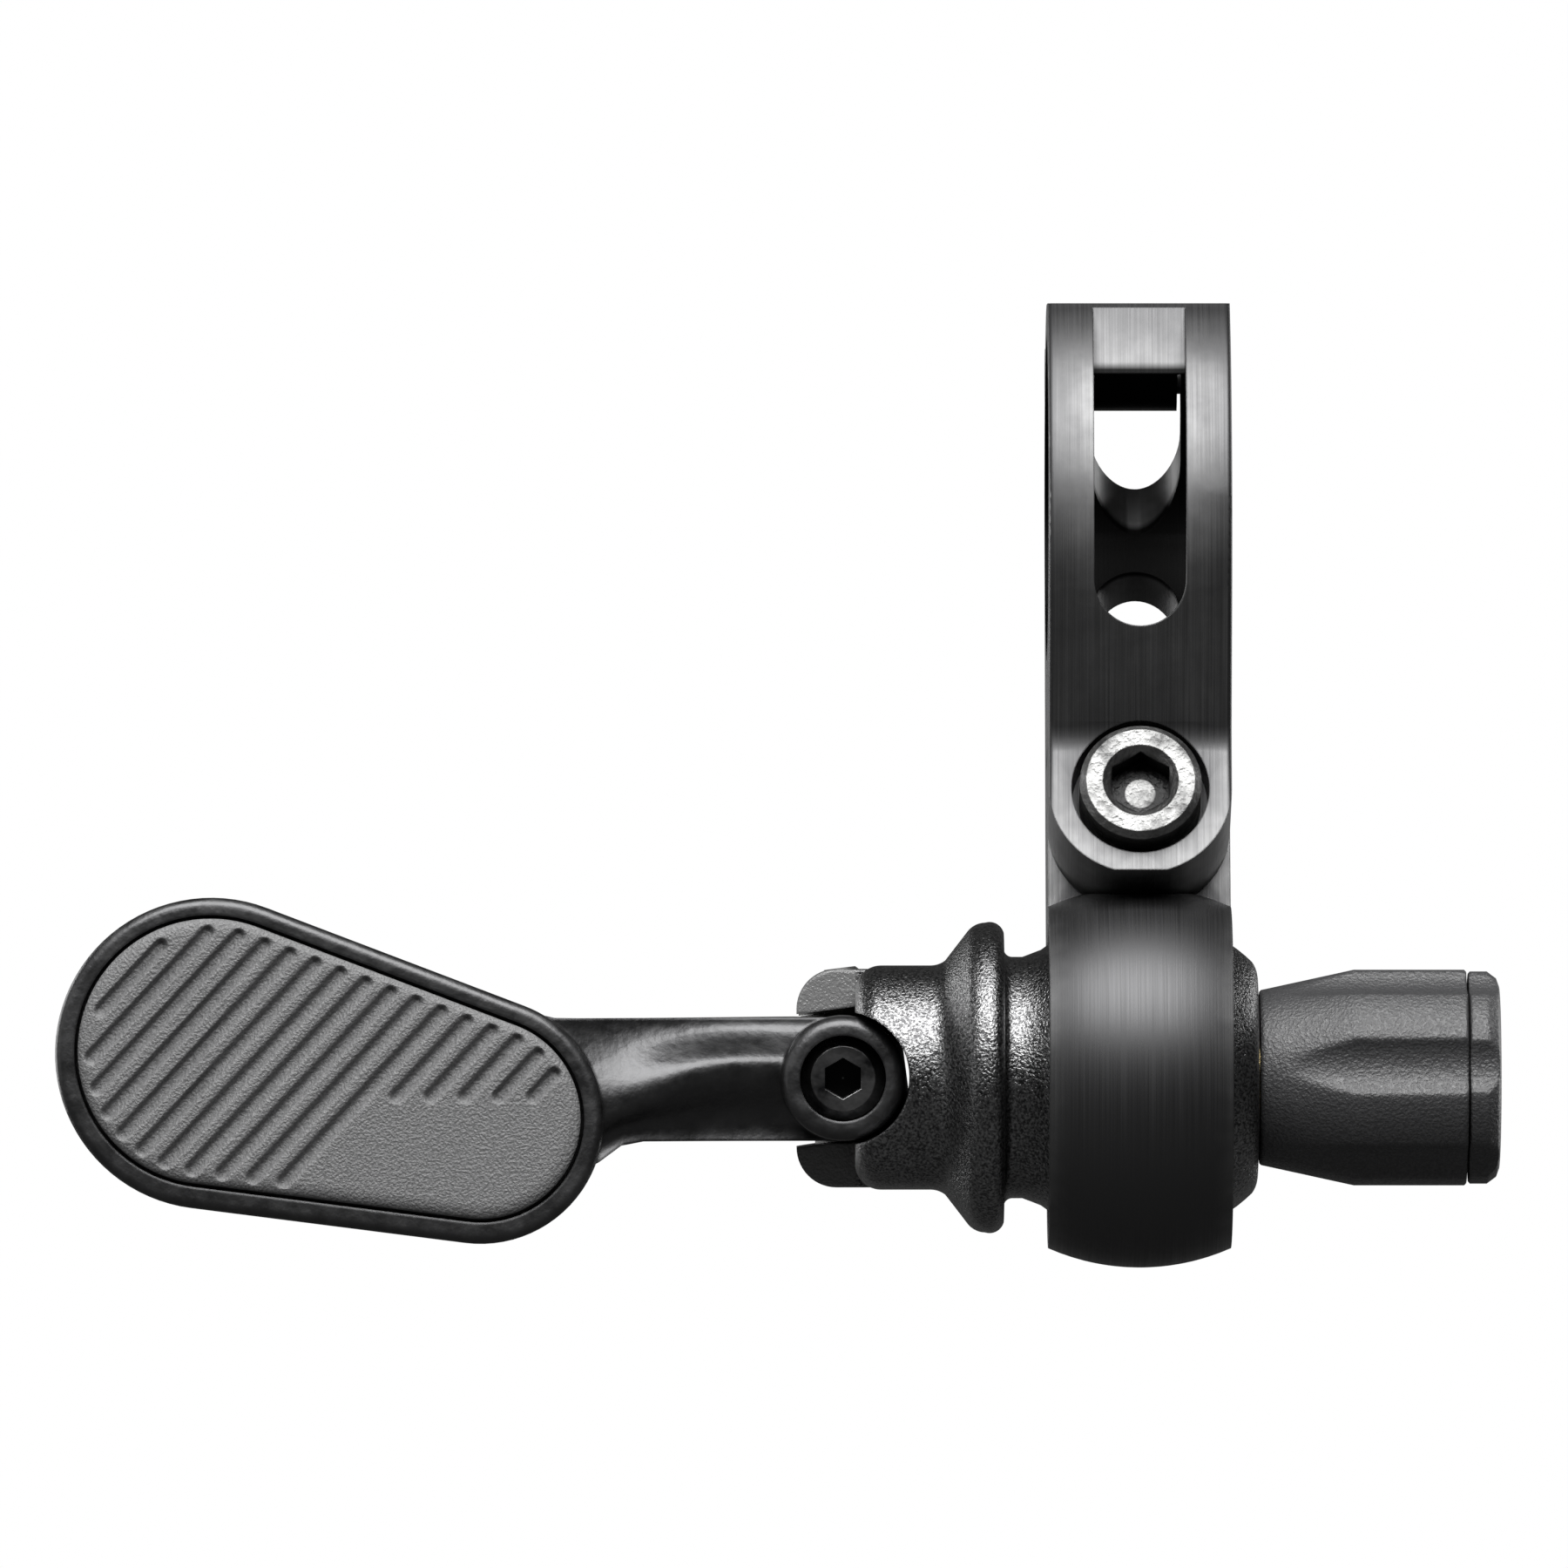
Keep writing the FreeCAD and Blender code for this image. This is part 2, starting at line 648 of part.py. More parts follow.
def ear_block():
    """Block behind the housing that the two ears are cut from."""
    side = Part.Face(rounded_loop([
        (Vector(ear_end_x, 0, -ear_foot), ear_corner_r),
        (Vector(housing_start_x, 0, -ear_foot), 0),
        (Vector(housing_start_x, 0, ear_top), 0),
        (Vector(ear_end_x, 0, ear_top), ear_corner_r),
    ])).extrude(Vector(0, 3 * pivot_back, 0))
    rear = pivot_back + ear_rear_r
    plan = Part.Face(rounded_loop([
        (Vector(ear_end_x, ear_front_back, -ear_foot), 0),
        (Vector(housing_start_x, ear_front_back, -ear_foot), 0),
        (Vector(housing_start_x, pivot_back - ear_shoulder, -ear_foot), ear_shoulder),
        (Vector(pivot_x + ear_rear_r, rear, -ear_foot), ear_shoulder),
        (Vector(ear_end_x, rear, -ear_foot), ear_end_round),
    ])).extrude(Vector(0, 0, ear_foot + ear_top))
    return side.common(plan)


def ear_slot():
    """Slot between the ears, square to the leaning pivot and open to the left and rear."""
    reach = 3 * ear_slot_r
    half = ear_slot_height / 2
    bottom = Vector(0, 0, -half)
    slot = rod(bottom, Vector(0, 0, 1), ear_slot_r, ear_slot_height)
    left = Part.makeBox(reach, 2 * reach, ear_slot_height, Vector(-reach, -reach, -half))
    front = Part.makeBox(ear_slot_r, pivot_back - ear_front_back + 1, ear_slot_height,
                         Vector(0, -(pivot_back - ear_front_back + 1), -half))
    rear = Part.makeBox(ear_slot_r, reach, ear_slot_height, Vector(0, 0, -half))
    return in_pivot_frame(slot.fuse(left).fuse(front).fuse(rear))


def make_ball_body():
    body = turned(ball_profile()).fuse(ear_block())
    body = in_cable_frame(body)
    body = body.cut(ear_slot())
    sweep_r = boss_r + boss_clearance
    boss_start = Vector(boss_x, ball_y - 2 * housing_r, ball_z)
    boss_room = rod(boss_start, Vector(0, 1, 0), sweep_r, 2 * housing_r + ear_front_back + 1)
    left_room = Part.makeBox(2 * sweep_r, 2 * housing_r + ear_front_back, 2 * sweep_r,
                             boss_start + Vector(-2 * sweep_r, 0, -sweep_r))
    body = body.cut(boss_room.fuse(left_room))
    body = body.cut(in_pivot_frame(pin_line(pin_d / 2)))
    thread_start = Vector(stem_start_x - stem_end_room, 0, 0)
    thread = rod(thread_start, Vector(1, 0, 0), stem_thread_d / 2, cut_through)
    mouth = rod(Vector(ring_bore_x, 0, 0), Vector(1, 0, 0), ring_bore_d / 2, cut_through)
    cable = rod(Vector(-cut_through / 2, 0, 0), Vector(1, 0, 0), cable_bore_d / 2, cut_through)
    return body.cut(in_cable_frame(thread.fuse(mouth).fuse(cable))).removeSplitter()


# Pivot
def make_pivot_pin():
    top = ear_top - pivot_up + pin_proud
    foot = ear_foot + pivot_up
    pin = rod(Vector(0, 0, -foot), Vector(0, 0, 1), pin_d / 2, foot + top - pin_chamfer)
    tip = Part.makeCone(pin_d / 2, pin_d / 2 - pin_chamfer, pin_chamfer, Vector(0, 0, top - pin_chamfer))
    pin = in_pivot_frame(pin.fuse(tip).removeSplitter())
    floor = Part.makeBox(cut_through, cut_through, cut_through)
    floor.translate(Vector(pivot_x - cut_through / 2, -cut_through / 2, ball_z - ear_foot - cut_through))
    return pin.cut(floor)


def ring_at(z0, z1, r_out, r_in):
    outer = rod(Vector(0, 0, z0), Vector(0, 0, 1), r_out, z1 - z0)
    return outer.cut(rod(Vector(0, 0, z0 - 1), Vector(0, 0, 1), r_in, z1 - z0 + 2))


def make_thrust_washer(side):
    outer = ear_slot_height / 2
    inner = outer - washer_thick
    washer = ring_at(min(side * inner, side * outer), max(side * inner, side * outer),
                     washer_d / 2, pin_d / 2)
    return in_pivot_frame(washer)


def make_bush(side):
    face = hub_height / 2
    low = face - bush_length
    flange_top = face + bush_flange
    bore_r = pin_d / 2 + running_clearance
    sleeve = ring_at(min(side * low, side * face), max(side * low, side * face), bush_d / 2, bore_r)
    flange = ring_at(min(side * face, side * flange_top), max(side * face, side * flange_top),
                     bush_flange_d / 2, bore_r)
    return in_pivot_frame(sleeve.fuse(flange).removeSplitter())


# Lever
def paddle_outline(inset):
    """Wire about two circles of different size, drawn in by an inset, in the XZ plane."""
    big = Vector(paddle_big_x, 0, paddle_big_z)
    small = Vector(paddle_small_x, 0, paddle_small_z)
    big_r = paddle_big_r - inset
    small_r = paddle_small_r - inset
    run = small - big
    heading = math.atan2(run.z, run.x)
    spread = math.acos((big_r - small_r) / run.Length)

    def at(centre, radius, angle):
        return centre + Vector(radius * math.cos(angle), 0, radius * math.sin(angle))

    upper = heading + spread
    lower = heading - spread
    return Part.Wire([
        line(at(big, big_r, upper), at(small, small_r, upper)),
        arc(at(small, small_r, upper), at(small, small_r, heading), at(small, small_r, lower)),
        line(at(small, small_r, lower), at(big, big_r, lower)),
        arc(at(big, big_r, lower), at(big, big_r, heading + math.pi), at(big, big_r, upper)),
    ])


def paddle_slab(inset, front, back):
    """Slab of the paddle's outline between two distances in front of the cable line."""
    wire = paddle_outline(inset)
    wire.translate(Vector(0, -front, 0))
    return Part.Face(wire).extrude(Vector(0, front - back, 0))


def is_flat_at(y):
    def wanted(edge):
        return edge.BoundBox.YLength < 1e-6 and abs(edge.BoundBox.YMin - y) < 1e-6
    return wanted


def make_paddle():
    back = paddle_front - paddle_thick
    slab = paddle_slab(0, paddle_front, back)
    slab = fillet_where(slab, paddle_front_round, is_flat_at(-paddle_front))
    return fillet_where(slab, paddle_back_round, is_flat_at(-back))


def arm_flare(side, radius, x):
    """Height of the arm's upper (1) or lower (-1) edge, which flares into the paddle's end."""
    level = arm_mid_z + side * arm_height / 2
    over = side * (level - paddle_small_z)
    reach = math.sqrt((paddle_small_r + radius) ** 2 - (over + radius) ** 2)
    centre_x = paddle_small_x + reach
    foot_x = paddle_small_x + reach * paddle_small_r / (paddle_small_r + radius)
    back = centre_x - max(x, foot_x)
    if back <= 0:
        return level
    return level + side * (radius - math.sqrt(radius ** 2 - back ** 2))


def arm_section(x, rear, edge, ridge, ridge_z):
    """Closed section of the arm, with one curve for its front and straight lines behind."""
    top = arm_flare(1, over_arm_fillet, x)
    low = arm_flare(-1, under_arm_fillet, x)
    middle = (edge + ridge) / 2
    front = Part.BSplineCurve()
    front.interpolate([
        Vector(x, edge, top),
        Vector(x, middle, (top + ridge_z) / 2),
        Vector(x, ridge, ridge_z + arm_ridge_half),
        Vector(x, ridge + arm_ridge_half / 2, ridge_z - arm_ridge_half),
        Vector(x, middle + arm_hollow, (low + ridge_z) / 2),
        Vector(x, edge, low),
    ])
    corners = [
        Vector(x, edge, low),
        Vector(x, rear - arm_back_bevel, low),
        Vector(x, rear, low + arm_back_bevel_height),
        Vector(x, rear, top - arm_back_bevel_height),
        Vector(x, rear - arm_back_bevel, top),
        Vector(x, edge, top),
    ]
    sides = [line(start, end) for start, end in zip(corners, corners[1:])]
    return Part.Wire([front.toShape()] + sides)


def make_arm():
    """Arm through many close sections, spaced evenly along curves through the stations."""
    steps = [arm_stations[0][0] - station[0] for station in arm_stations]
    sides = Part.BSplineCurve()
    sides.interpolate(Points=[Vector(x, rear, edge) for x, rear, edge, _, _ in arm_stations],
                      Parameters=steps)
    ridge = Part.BSplineCurve()
    ridge.interpolate(Points=[Vector(x, y, z) for x, _, _, y, z in arm_stations], Parameters=steps)
    sections = []
    for index in range(arm_section_count):
        step = steps[-1] * index / (arm_section_count - 1)
        side = sides.value(step)
        crest = ridge.value(step)
        sections.append(arm_section(side.x, side.y, side.z, crest.y, crest.z))
    return Part.makeLoft(sections, True, True)


def make_lever():
    boss = rod(Vector(boss_x, -boss_front, 0), Vector(0, 1, 0), boss_r, boss_front + pivot_back)
    boss = fillet_where(boss, boss_edge_round, is_flat_at(-boss_front))
    body = make_paddle().fuse(make_arm()).fuse(boss)
    recess = paddle_slab(pad_inset - pad_groove, paddle_front + 1, paddle_front - pad_sink)
    recess.translate(Vector(0, 0, pad_lift))
    body = in_cable_frame(body.cut(recess))
    hub = in_pivot_frame(rod(Vector(0, 0, -hub_height / 2), Vector(0, 0, 1), hub_r, hub_height))
    over_hub = rod(Vector(0, 0, hub_height / 2), Vector(0, 0, 1), ear_reach(), arm_height)
    under_hub = rod(Vector(0, 0, -hub_height / 2 - arm_height), Vector(0, 0, 1), ear_reach(), arm_height)
    body = body.fuse(hub).cut(in_pivot_frame(over_hub)).cut(in_pivot_frame(under_hub))
    body = body.cut(in_pivot_frame(pin_line(pin_d / 2 + running_clearance)))
    for side in (-1, 1):
        face = hub_height / 2
        seat = rod(Vector(0, 0, min(side * face, side * (face - bush_length))), Vector(0, 0, 1),
                   bush_d / 2, bush_length)
        body = body.cut(in_pivot_frame(seat))
    cable = in_cable_frame(rod(Vector(boss_x - 15, 0, 0), Vector(1, 0, 0), cable_bore_d / 2, 30))
    thread = rod(Vector(boss_x, -boss_front - 1, 0), Vector(0, 1, 0), pinch_thread_d / 2, boss_front + 1)
    return body.cut(cable).cut(in_cable_frame(thread)).removeSplitter()


def ear_reach():
    """Radius about the pivot inside which the lever has to pass between the ears."""
    return pivot_x - ear_end_x + 0.6


def make_pinch_screw():
    start = -boss_front + pinch_screw_sunk
    screw = rod(Vector(boss_x, start, 0), Vector(0, 1, 0), pinch_screw_d / 2, pinch_screw_length)
    screw = screw.cut(hexagon_prism(Vector(boss_x, start, 0), Vector(0, 1, 0), pinch_hex, pinch_hex_depth))
    rim = [edge for edge in screw.Edges if edge.BoundBox.YLength < 1e-6
           and abs(edge.BoundBox.XLength - pinch_screw_d) < 1e-3 and edge.BoundBox.YMin < start + 0.1]
    screw = screw.makeChamfer(pinch_chamfer, rim)
    return in_cable_frame(screw)


# Thumb pad
def pad_rib(start, end):
    """Groove with round ends between two points of the pad's face."""
    run = end - start
    top = -paddle_front - pad_proud
    half = rib_width / 2
    depth = rib_depth + 1
    mouth = Vector(0, top - 1, 0)
    box = Part.makeBox(run.Length, depth, rib_width, Vector(0, 0, -half))
    turn = math.degrees(math.atan2(run.z, run.x))
    box.Placement = Placement(start + mouth, Rotation(Vector(0, 1, 0), -turn))
    first = rod(start + mouth, Vector(0, 1, 0), half, depth)
    last = rod(end + mouth, Vector(0, 1, 0), half, depth)
    return box.fuse(first).fuse(last)


def rib_ends():
    """Ends of each groove: a diagonal across the pad, cut short over the plain corner."""
    angle = math.radians(rib_angle_deg)
    along = Vector(math.cos(angle), 0, math.sin(angle))
    side = Vector(math.sin(angle), 0, -math.cos(angle))
    face = Part.Face(paddle_outline(pad_inset + rib_margin))
    first_offset = Vector(paddle_big_x + rib_first_x, 0, paddle_big_z + rib_first_z).dot(side)
    small_end_reach = paddle_small_r - pad_inset - rib_margin - rib_end_gap
    last_offset = Vector(paddle_small_x, 0, paddle_small_z).dot(side) + small_end_reach
    rib_count = int((last_offset - first_offset) / rib_pitch) + 1
    ends = []
    for index in range(rib_count):
        offset = first_offset + index * rib_pitch
        middle = side * offset + along * Vector(paddle_big_x, 0, paddle_big_z).dot(along)
        ray = line(middle - along * cut_through, middle + along * cut_through)
        inside = ray.common(face)
        points = sorted([vertex.Point for vertex in inside.Vertexes], key=lambda p: p.dot(along))
        low = points[0]
        high = points[-1]
        if index == 0:
            chord = high - low
            low, high = low + chord * rib_first_share[0], low + chord * rib_first_share[1]
        if offset > last_offset - short_rib_span:
            low = high - along * ((high.z - short_rib_foot_z) / along.z)
        if (high - low).dot(along) < rib_width:
            low = high - along * shortest_rib
        ends.append((low, high))
    return ends


def make_thumb_pad():
    pad = paddle_slab(pad_inset, paddle_front + pad_proud, paddle_front - pad_sink)
    pad = fillet_where(pad, pad_round, is_flat_at(-paddle_front - pad_proud))
    grooves = [pad_rib(low, high) for low, high in rib_ends()]
    pad = pad.cut(Part.makeCompound(grooves))
    pad.translate(Vector(0, 0, pad_lift))
    return in_cable_frame(pad)


# Barrel adjuster
def make_adjuster_stem():
    thread = rod(Vector(stem_start_x, 0, 0), Vector(1, 0, 0), stem_thread_d / 2, stem_head_x - stem_start_x)
    head = rod(Vector(stem_head_x, 0, 0), Vector(1, 0, 0), stem_head_d / 2, stem_end_x - stem_head_x)
    stem = thread.fuse(head)
    stem = stem.cut(rod(Vector(-cut_through / 2, 0, 0), Vector(1, 0, 0), cable_bore_d / 2, cut_through))
    socket_start = stem_end_x - housing_socket_length
    stem = stem.cut(rod(Vector(socket_start, 0, 0), Vector(1, 0, 0), housing_socket_d / 2, cut_through))
    half = o_ring_wire_d / 2
    groove = tube(o_ring_x - half, o_ring_x + half, stem_thread_d, stem_thread_d / 2 - half / 2)
    return in_cable_frame(stem.cut(groove).removeSplitter())


def make_o_ring():
    half = o_ring_wire_d / 2
    outer = ring_bore_d / 2 - running_clearance
    inner = stem_thread_d / 2 - half / 2
    middle = (outer + inner) / 2
    radial = (outer - inner) / 2
    ring = Part.makeTorus(middle, radial, Vector(0, 0, 0), Vector(1, 0, 0))
    squeeze = tube(-half, half, outer + 1, inner)
    ring = ring.common(squeeze)
    ring.translate(Vector(o_ring_x, 0, 0))
    return in_cable_frame(ring)


def scallop(index):
    """Finger groove of the grip: a rod laid along the grip, tipped out at its inner end."""
    full = rod(Vector(scallop_full_x, 0, 0), Vector(1, 0, 0), scallop_r, end_ring_x)
    run = scallop_full_x - scallop_start_x
    lift = scallop_depth + (grip_r - grip_start_r) * run / (grip_cone_x - ball_end_x)
    tip = rod(Vector(0, 0, 0), Vector(-run, 0, -lift * scallop_tip_share), scallop_r,
              run * scallop_tip_reach)
    tip.translate(Vector(scallop_full_x, 0, 0))
    cutter = full.fuse(tip).fuse(Part.makeSphere(scallop_r, Vector(scallop_full_x, 0, 0)))
    cutter.translate(Vector(0, 0, grip_r - scallop_depth + scallop_r))
    cutter.rotate(Vector(0, 0, 0), Vector(1, 0, 0), scallop_first_deg + index * 360 / scallop_count)
    return cutter


def make_adjuster_grip():
    start = ball_end_x + adjuster_gap
    body = turned([
        line(xr(start, 0), xr(start, grip_start_r)),
        line(xr(start, grip_start_r), xr(grip_cone_x, grip_r)),
        line(xr(grip_cone_x, grip_r), xr(grip_end_x, grip_r)),
        line(xr(grip_end_x, grip_r), xr(grip_end_x, 0)),
        line(xr(grip_end_x, 0), xr(start, 0)),
    ])
    for index in range(scallop_count):
        body = body.cut(scallop(index))
    body = body.cut(rod(Vector(0, 0, 0), Vector(1, 0, 0), stem_thread_d / 2 + running_clearance,
                        cut_through))
    body = body.cut(rod(Vector(stem_head_x - running_clearance, 0, 0), Vector(1, 0, 0),
                        stem_head_d / 2 + running_clearance, cut_through))
    return in_cable_frame(body.removeSplitter())


def make_end_ring():
    """Ring that closes the grip, with a spigot that sits inside the grip's end."""
    start = grip_end_x + end_ring_gap
    ring = turned([
        line(xr(start, 0), xr(start, end_ring_r)),
        line(xr(start, end_ring_r), xr(end_ring_x - end_ring_chamfer, end_ring_r)),
        line(xr(end_ring_x - end_ring_chamfer, end_ring_r), xr(end_ring_x, end_ring_r - end_ring_chamfer)),
        line(xr(end_ring_x, end_ring_r - end_ring_chamfer), xr(end_ring_x, 0)),
        line(xr(end_ring_x, 0), xr(start, 0)),
    ])
    for index in range(scallop_count):
        ring = ring.cut(scallop(index))
    neck = rod(Vector(grip_end_x, 0, 0), Vector(1, 0, 0), end_ring_r - end_ring_neck_drop, end_ring_gap)
    ring = ring.fuse(neck)
    ring = ring.cut(rod(Vector(0, 0, 0), Vector(1, 0, 0), stem_head_d / 2 + running_clearance, cut_through))
    return in_cable_frame(ring.removeSplitter())


def main():
    os.makedirs("parts", exist_ok=True)
    nodes = {
        "clamp_front_strap": make_front_strap(),
        "clamp_rear_body": make_rear_body(),
        "clamp_bolt": make_clamp_bolt(),
        "strap_hinge_pin": make_hinge_pin(),
        "ball_body": make_ball_body(),
        "pivot_pin": make_pivot_pin(),
        "upper_thrust_washer": make_thrust_washer(1),
        "lower_thrust_washer": make_thrust_washer(-1),
        "upper_pivot_bush": make_bush(1),
        "lower_pivot_bush": make_bush(-1),
        "lever": make_lever(),
        "cable_pinch_screw": make_pinch_screw(),
        "thumb_pad": make_thumb_pad(),
        "adjuster_stem": make_adjuster_stem(),
        "adjuster_o_ring": make_o_ring(),
        "adjuster_grip": make_adjuster_grip(),
        "adjuster_end_ring": make_end_ring(),
    }
    for name, shape in nodes.items():
        print(name, len(shape.Solids), shape.isValid(), round(shape.Volume, 2))
        shape.exportStep("parts/" + name + ".step")


main()
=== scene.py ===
import math
import bmesh
import bpy
import numpy as np
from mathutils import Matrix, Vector


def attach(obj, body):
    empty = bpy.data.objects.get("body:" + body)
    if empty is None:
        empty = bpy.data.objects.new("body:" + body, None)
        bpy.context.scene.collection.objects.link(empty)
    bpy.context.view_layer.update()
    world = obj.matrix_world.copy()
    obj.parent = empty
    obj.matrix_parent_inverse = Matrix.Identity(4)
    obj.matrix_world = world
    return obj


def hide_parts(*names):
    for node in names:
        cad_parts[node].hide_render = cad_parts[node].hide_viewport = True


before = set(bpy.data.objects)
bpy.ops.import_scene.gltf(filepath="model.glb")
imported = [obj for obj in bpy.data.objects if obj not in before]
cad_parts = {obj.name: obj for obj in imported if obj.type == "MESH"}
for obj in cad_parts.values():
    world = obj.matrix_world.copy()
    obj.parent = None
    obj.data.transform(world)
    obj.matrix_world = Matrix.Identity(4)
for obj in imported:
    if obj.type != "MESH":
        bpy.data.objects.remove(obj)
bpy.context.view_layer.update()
mm = 0.001
cableLine = Vector((0.0, -8.0 * mm, -40.67 * mm))  # the ball's centre, also the line of the cable
print("frame loaded:", len(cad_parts), "nodes")


# Camera and light
photo = {"pixels": 1800, "pixelsPerMm": 16.4, "barColumn": 1308, "barRow": 570, "distance": 1.54}
studio = {"target": (-0.025, -0.008, -0.022), "worldLight": 0.07}
lamps = {
    "keySoftbox": {"place": (-0.03, -0.38, 0.52), "size": 0.70, "ratio": 0.75, "power": 15.0},
    "fillSoftbox": {"place": (-0.02, -0.40, -0.62), "size": 0.5, "ratio": 0.5, "power": 0.30},
    "sideStrip": {"place": (-0.62, -0.25, 0.10), "size": 0.25, "ratio": 2.0, "power": 0.5},
    "rearLeftStrip": {"place": (-0.52, 0.34, 0.04), "size": 0.30, "ratio": 1.4, "power": 2.2},
    "rearRightStrip": {"place": (0.50, 0.34, 0.04), "size": 0.30, "ratio": 1.4, "power": 2.2},
}
floorSize = {
    "radius": 0.12, "height": -0.081, "centreX": -0.02, "segments": 96, "roughness": 0.9,
    "seen": (0.80, 0.80, 0.80), "bounced": (0.05, 0.05, 0.05),
}


def makeCamera():
    # the photograph's centre column and row, in metres from the bar's centre
    middle = photo["pixels"] / 2
    atX = (middle - photo["barColumn"]) / photo["pixelsPerMm"] * mm
    atZ = (photo["barRow"] - middle) / photo["pixelsPerMm"] * mm
    seenWidth = photo["pixels"] / photo["pixelsPerMm"] * mm
    data = bpy.data.cameras.new("photoCamera")
    data.sensor_width = 36.0
    data.sensor_fit = "HORIZONTAL"
    data.lens = data.sensor_width * photo["distance"] / seenWidth
    data.clip_start = 0.05
    data.clip_end = 20.0
    camera = bpy.data.objects.new("photoCamera", data)
    camera.location = (atX, cableLine.y - photo["distance"], atZ)
    camera.rotation_euler = (math.pi / 2, 0.0, 0.0)
    bpy.context.scene.collection.objects.link(camera)
    bpy.context.scene.camera = camera


def areaLamp(name, place, size, ratio, power):
    data = bpy.data.lights.new(name, "AREA")
    data.shape = "RECTANGLE"
    data.size = size
    data.size_y = size * ratio
    data.energy = power
    lamp = bpy.data.objects.new(name, data)
    lamp.location = place
    lamp.rotation_euler = (Vector(studio["target"]) - Vector(place)).to_track_quat("-Z", "Y").to_euler()
    lamp.visible_camera = False
    bpy.context.scene.collection.objects.link(lamp)


def makeLight():
    for name, lamp in lamps.items():
        areaLamp(name, **lamp)
    world = bpy.data.worlds.new("studio")
    bpy.context.scene.world = world
    world.use_nodes = True
    nodes = world.node_tree.nodes
    links = world.node_tree.links
    nodes.clear()
    path = nodes.new("ShaderNodeLightPath")
    seen = nodes.new("ShaderNodeMath")
    seen.operation = "MAXIMUM"
    links.new(path.outputs["Is Camera Ray"], seen.inputs[0])
    links.new(path.outputs["Is Transmission Ray"], seen.inputs[1])
    white = nodes.new("ShaderNodeBackground")
    white.inputs["Color"].default_value = (1, 1, 1, 1)
    dim = nodes.new("ShaderNodeBackground")
    dim.inputs["Color"].default_value = (1, 1, 1, 1)
    dim.inputs["Strength"].default_value = studio["worldLight"]
    mix = nodes.new("ShaderNodeMixShader")
    out = nodes.new("ShaderNodeOutputWorld")
    links.new(seen.outputs[0], mix.inputs[0])
    links.new(dim.outputs[0], mix.inputs[1])
    links.new(white.outputs[0], mix.inputs[2])
    links.new(mix.outputs[0], out.inputs["Surface"])


def makeFloor():
    # flat disc: rings of points at radius times angle
    low = floorSize["height"]
    centreX, count = floorSize["centreX"], floorSize["segments"]
    turns = np.linspace(0, 2 * np.pi, count + 1)[:-1]
    rings = np.array([0.0, 0.5, 1.0]) * floorSize["radius"]
    ring, turn = np.meshgrid(rings[1:], turns, indexing="ij")
    x = (ring * np.cos(turn)).ravel() + centreX
    y = (ring * np.sin(turn)).ravel()
    points = np.vstack([[centreX, 0.0, low], np.column_stack([x, y, np.full_like(x, low)])])
    step = np.arange(count)
    after = (step + 1) % count
    faces = [(0, 1 + int(a), 1 + int(b)) for a, b in zip(step, after)]
    faces += [(1 + int(a), 1 + count + int(a), 1 + count + int(b), 1 + int(b)) for a, b in zip(step, after)]
    mesh = bpy.data.meshes.new("studioFloor")
    mesh.from_pydata(points.tolist(), [], faces)
    floor = bpy.data.objects.new("studioFloor", mesh)
    bpy.context.scene.collection.objects.link(floor)
    material = bpy.data.materials.new("paleFloor")
    material.use_nodes = True
    tree = material.node_tree
    shader = tree.nodes["Principled BSDF"]
    shader.inputs["Roughness"].default_value = floorSize["roughness"]
    path = tree.nodes.new("ShaderNodeLightPath")
    seen = mixColour(tree, path.outputs["Is Camera Ray"], floorSize["bounced"], floorSize["seen"])
    tree.links.new(seen, shader.inputs["Base Color"])
    mesh.materials.append(material)


# Node groups shared by the materials
def newGroup(name, inputs, outputs):
    group = bpy.data.node_groups.new(name, "ShaderNodeTree")
    for label, kind, value in inputs:
        socket = group.interface.new_socket(label, in_out="INPUT", socket_type=kind)
        if value is not None:
            socket.default_value = value
    for label, kind in outputs:
        group.interface.new_socket(label, in_out="OUTPUT", socket_type=kind)
    start = group.nodes.new("NodeGroupInput")
    end = group.nodes.new("NodeGroupOutput")
    return group, start, end


def mathNode(group, operation, first, second=None, clamp=False):
    node = group.nodes.new("ShaderNodeMath")
    node.operation = operation
    node.use_clamp = clamp
    for index, value in enumerate((first, second)):
        if value is None:
            continue
        if isinstance(value, (int, float)):
            node.inputs[index].default_value = value
        else:
            group.links.new(value, node.inputs[index])
    return node.outputs[0]


def noiseNode(group, vector, scale, detail=2.0, rough=0.5):
    node = group.nodes.new("ShaderNodeTexNoise")
    node.inputs["Detail"].default_value = detail
    node.inputs["Roughness"].default_value = rough
    group.links.new(vector, node.inputs["Vector"])
    if isinstance(scale, (int, float)):
        node.inputs["Scale"].default_value = scale
    else:
        group.links.new(scale, node.inputs["Scale"])
    return node.outputs["Fac"]


grainShape = {"broadRatio": 0.31, "cut": 0.36, "gain": 3.2}
wearShape = {"cut": 0.52, "gain": 9.0}


